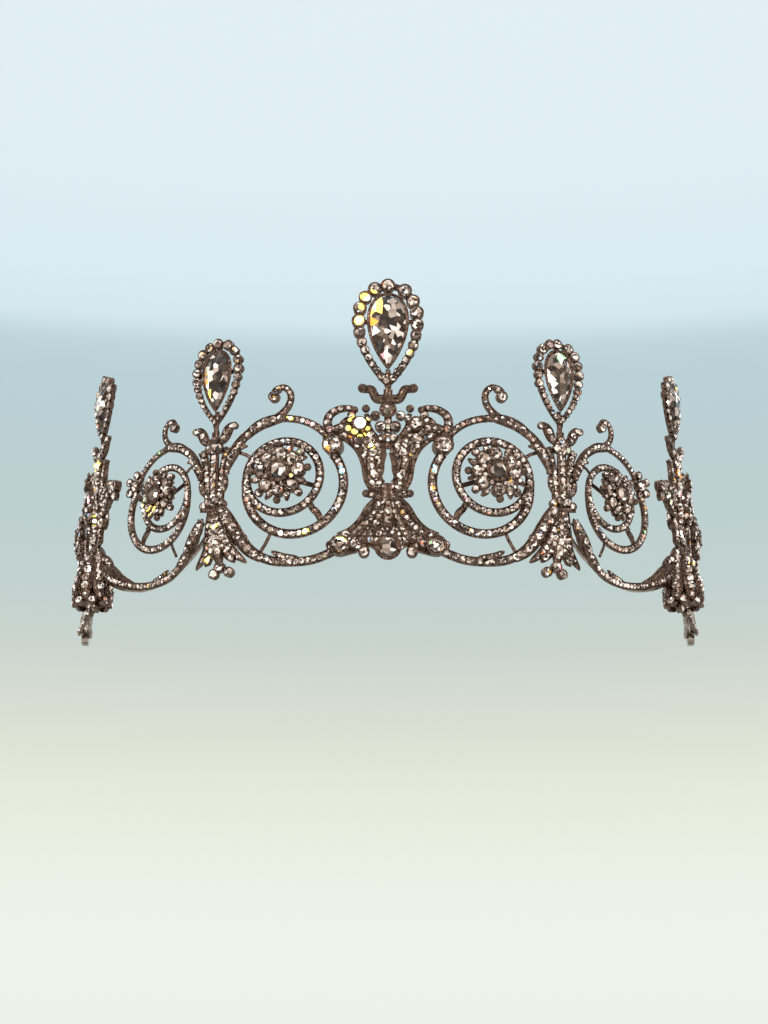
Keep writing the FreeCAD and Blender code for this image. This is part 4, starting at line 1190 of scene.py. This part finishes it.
bell_stone = brilliant(round_outline(2.25), 8, 0.8, 1.2)
for vertex in bell_stone.verts:
    vertex.co.y *= 1.15
bmesh.ops.translate(bell_stone, verts=bell_stone.verts, vec=(0, 4.55, 1.9))
urn_stone = brilliant(round_outline(1.35), 8, 0.55, 0.8)
bmesh.ops.translate(urn_stone, verts=urn_stone.verts, vec=(0, 38.3, 1.0))
mesh = bpy.data.meshes.new("urn_stone")
urn_stone.to_mesh(mesh)
bell_stone.from_mesh(mesh)
stone_piece("centre_brilliants", bell_stone, stand(0), "frame", ["setting_stones"])
print("hanging drops:", len(SIDES), "flank collets:", len(SIDES))

# %% [markdown]
# ## Rails and ends
# The rails, end posts and ribbon loops are plain polished metal, and their CAD shapes are right.

# %% Finish on the CAD nodes
polished = [node for name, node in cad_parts.items() if name.startswith(("rail", "end_post", "ribbon"))]
for node in polished:
    node.data.materials.clear()
    node.data.materials.append(POLISHED_METAL)
print("polished nodes:", len(polished))

# %% [markdown]
# ## Flashes of split light
# An old cut throws a strong flash from one stone at a time. Each flash here is a painted highlight: the
# stone faces round one spot, given as an arc along the tiara, a height and a reach, get a glowing material.

# %% Flashes
def painted_flash_material(name, colour, strength):
    """A glowing material that paints a stone face as if it had caught a lamp: a painted highlight."""
    solid = (*colour, 1)
    return new_material(name, base_color=solid, emission_color=solid, emission_strength=strength)[0]


# colour and glow strength of each kind of painted flash, then its spots: arc, height and reach
FLASHES = {
    "gold": ((1.0, 0.74, 0.16), 1.6, [
        (-3.9, 66.0, 3.0), (-6.6, 60.9, 1.3), (-6.4, 34.2, 2.9), (-3.6, 29.2, 0.8), (-21.4, 21.8, 0.7),
        (-43.6, 46.4, 0.8), (-42.0, 4.8, 0.7), (24.6, 40.6, 0.6), (60.8, 30.0, 0.7), (-48.4, 32.6, 0.9),
        (-58.8, 19.6, 1.0), (-83.2, 38.4, 0.9), (86.0, 12.4, 0.9)]),
    "white": ((1.0, 0.97, 0.9), 2.6, [
        (-2.6, 57.6, 0.7), (3.2, 43.2, 0.7), (-24.6, 9.2, 0.8), (38.6, 49.4, 0.6), (-56.6, 22.6, 0.7),
        (-86.2, 17.2, 0.9), (-82.2, 10.4, 0.9), (82.0, 20.2, 1.0), (66.4, 6.6, 0.8), (28.4, 8.2, 0.7)]),
    "orange": ((1.0, 0.36, 0.06), 1.5, [
        (-3.4, 60.0, 1.0), (-7.8, 32.2, 1.1), (-14.6, 29.6, 1.2), (9.6, 19.4, 0.6), (-29.0, 24.8, 0.6),
        (-43.6, 48.6, 0.8), (83.4, 36.4, 0.8)]),
    "green": ((0.42, 0.85, 0.42), 1.0, [(-25.4, 38.2, 0.5), (42.0, 55.4, 1.0), (40.6, 57.4, 0.6)]),
    "lime": ((0.80, 0.95, 0.14), 1.2, [
        (4.6, 53.4, 1.0), (-10.4, 29.3, 0.7), (-10.4, 6.2, 0.9), (-22.6, 38.0, 0.8), (-18.6, 9.8, 0.8),
        (-40.6, 12.8, 0.8), (46.6, 32.6, 0.8), (-62.4, 21.4, 1.1), (-82.4, 23.2, 1.1)]),
    "blue": ((0.25, 0.65, 0.85), 1.1, [(-10.2, 24.0, 0.8), (10.4, 24.4, 0.8)]),
    "rose": ((0.95, 0.42, 0.50), 1.0, [
        (-0.6, 52.2, 0.9), (-6.6, 4.6, 0.8), (-17.6, 36.0, 0.7), (-88.0, 8.4, 1.0), (84.6, 30.6, 0.9),
        (-88.4, 30.4, 1.1)])}
FLASH = {name: painted_flash_material(f"flash_{name}", colour, strength)
         for name, (colour, strength, spots) in FLASHES.items()}
SPOTS = [(stand(arc, height) @ Vector((0, 0, 1.5)), reach * MM, FLASH[name])
         for name, (colour, strength, spots) in FLASHES.items() for arc, height, reach in spots]
BRIGHT_CORE, NEAR, MARGIN = 0.6, 7 * MM, 4 * MM


def slot_of(mesh, material):
    """Number of a material on a mesh; adds the material if it isn't there."""
    if material.name not in mesh.materials:
        mesh.materials.append(material)
    return list(mesh.materials).index(material)


lit = 0
for made in [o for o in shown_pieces() if "work" in o.name or "brilliant" in o.name]:
    mesh = made.data
    stones = {k for k, m in enumerate(mesh.materials) if m in (SMALL_STONE, LARGE_STONE)}
    corners = [Vector(c) for c in made.bound_box]
    low = [min(c[i] for c in corners) - MARGIN for i in range(3)]
    high = [max(c[i] for c in corners) + MARGIN for i in range(3)]
    for spot, reach, material in SPOTS:
        if not all(low[i] < spot[i] < high[i] for i in range(3)):
            continue
        for face in mesh.polygons:
            gap = face.center - spot
            away = math.hypot(gap.x, gap.z)
            if face.material_index in stones and away < reach and gap.length < NEAR:
                # faces nearest the spot get the white painted highlight, the others the flash's painted
                # colour
                core = away < reach * BRIGHT_CORE
                face.material_index = slot_of(mesh, FLASH["white"] if core else material)
                lit += 1
print("faces that flash:", lit)

# %% [markdown]
# ## Light, floor and camera
# Metal shows what stands round it. In front of the tiara the room is a warm dark brown,
# with small lamps that strike the stones, and behind it the wall is a pale cold blue.

# %% World
world = bpy.data.worlds.new("studio")
bpy.context.scene.world = world
world.use_nodes = True
sky = world.node_tree
for node in list(sky.nodes):
    sky.nodes.remove(node)
direction = add_node(sky, "ShaderNodeTexCoord")
split = add_node(sky, "ShaderNodeSeparateXYZ")
wall = ramp(sky, [(0.0, (0.83, 0.85, 0.79)), (0.12, (0.86, 0.89, 0.82)), (0.15, (0.86, 0.88, 0.80)),
                  (0.2, (0.79, 0.82, 0.71)), (0.24, (0.68, 0.72, 0.64)), (0.27, (0.59, 0.66, 0.62)),
                  (0.3, (0.53, 0.64, 0.62)), (0.34, (0.51, 0.62, 0.63)), (0.395, (0.49, 0.64, 0.68)),
                  (0.409, (0.52, 0.67, 0.71)), (0.42, (0.65, 0.80, 0.85)), (0.44, (0.70, 0.83, 0.88)),
                  (0.5, (0.745, 0.86, 0.905)), (0.56, (0.75, 0.865, 0.91)), (1.0, (0.8, 0.89, 0.93))])
shown = add_node(sky, "ShaderNodeBackground", strength=1.0)
room = ramp(sky, [(0.0, (0.06, 0.038, 0.028)), (0.48, (0.12, 0.08, 0.06)), (0.56, (0.46, 0.36, 0.29)),
                  (0.62, (0.10, 0.07, 0.055)), (0.72, (0.60, 0.50, 0.42)), (0.8, (0.22, 0.18, 0.16)),
                  (1.0, (0.8, 0.8, 0.8))])
lit = add_node(sky, "ShaderNodeBackground", strength=1.0)
height = add_node(sky, "ShaderNodeMapRange", from_min=-1)
behind = add_node(sky, "ShaderNodeMapRange", from_min=-0.1, from_max=0.5)
around = add_node(sky, "ShaderNodeMix", data_type="RGBA")
path = add_node(sky, "ShaderNodeLightPath")
choice = add_node(sky, "ShaderNodeMixShader")
output = add_node(sky, "ShaderNodeOutputWorld")
wire(sky, (direction.outputs["Generated"], split.inputs[0]), (split.outputs["Z"], wall.inputs["Fac"]),
     (wall.outputs["Color"], shown.inputs["Color"]), (split.outputs["Z"], height.inputs["Value"]),
     (height.outputs["Result"], room.inputs["Fac"]), (split.outputs["Y"], behind.inputs["Value"]),
     (behind.outputs["Result"], around.inputs[0]), (room.outputs["Color"], around.inputs[6]),
     (wall.outputs["Color"], around.inputs[7]), (around.outputs[2], lit.inputs["Color"]),
     (path.outputs["Is Camera Ray"], choice.inputs[0]), (lit.outputs[0], choice.inputs[1]),
     (shown.outputs[0], choice.inputs[2]), (choice.outputs[0], output.inputs["Surface"]))
print("world nodes:", len(sky.nodes))

# %% [markdown]
# ## Lamps
# Small lamps make small, sharp highlights, and each stone needs only a few of them.
# A large soft lamp would turn every face pale at once, so even the key lamp is small.

# %% Lamps
LAMP_COLOUR, AIM = (1, 0.97, 0.93), Vector((0, 0, 0.03))


def lamp(name, spot, width, power):
    """A square lamp that points at the tiara."""
    light = bpy.data.lights.new(name, "AREA")
    light.size = width
    light.energy = power
    light.color = LAMP_COLOUR
    made = bpy.data.objects.new(name, light)
    bpy.context.collection.objects.link(made)
    made.location = spot
    made.rotation_euler = (AIM - Vector(spot)).to_track_quat("-Z", "Y").to_euler()


LAMPS = [("key", (-0.35, -0.75, 0.45), 0.05, 1.1), ("key_right", (0.45, -0.7, 0.3), 0.03, 0.5),
         ("glint_low", (0.1, -0.8, -0.05), 0.02, 0.25), ("glint_left", (-0.6, -0.5, 0.1), 0.03, 0.4),
         ("glint_right", (0.65, -0.45, 0.5), 0.03, 0.5), ("top", (0.0, -0.1, 0.9), 0.2, 0.6)]
for name, spot, width, power in LAMPS:
    lamp(name, spot, width, power)
print("lamps:", len(LAMPS))

# %% [markdown]
# ## Floor
# The camera looks up at the tiara, as it stands on a tall display. A floor at its base would be seen
# edge-on and hide the lowest stones, so the pale floor lies well below it.

# %% Floor
FLOOR_HEIGHT, FLOOR_SIZE = -0.24, 60
bpy.ops.mesh.primitive_plane_add(size=FLOOR_SIZE, location=(0, 0, FLOOR_HEIGHT))
floor = bpy.context.object
floor.name = "studio_floor"
floor.data.materials.append(new_material("pale_floor", base_color=(0.72, 0.74, 0.72, 1), roughness=0.8)[0])
print("floor height:", FLOOR_HEIGHT)

# %% [markdown]
# ## Camera
# A longish lens from close by and below: the side panels turn away and the pears stand tall.

# %% Camera
CAMERA_PLACE, CAMERA_TILT = (0, -0.46015, -0.1379), 109.5
camera_data = bpy.data.cameras.new("camera")
camera_data.lens = 70.3
camera_data.shift_x = -0.0039
camera = bpy.data.objects.new("camera", camera_data)
bpy.context.collection.objects.link(camera)
camera.location = CAMERA_PLACE
camera.rotation_euler = (math.radians(CAMERA_TILT), 0, 0)
bpy.context.scene.camera = camera
bpy.context.scene.view_settings.view_transform = "Standard"
print("camera looks up by", CAMERA_TILT - 90, "degrees")
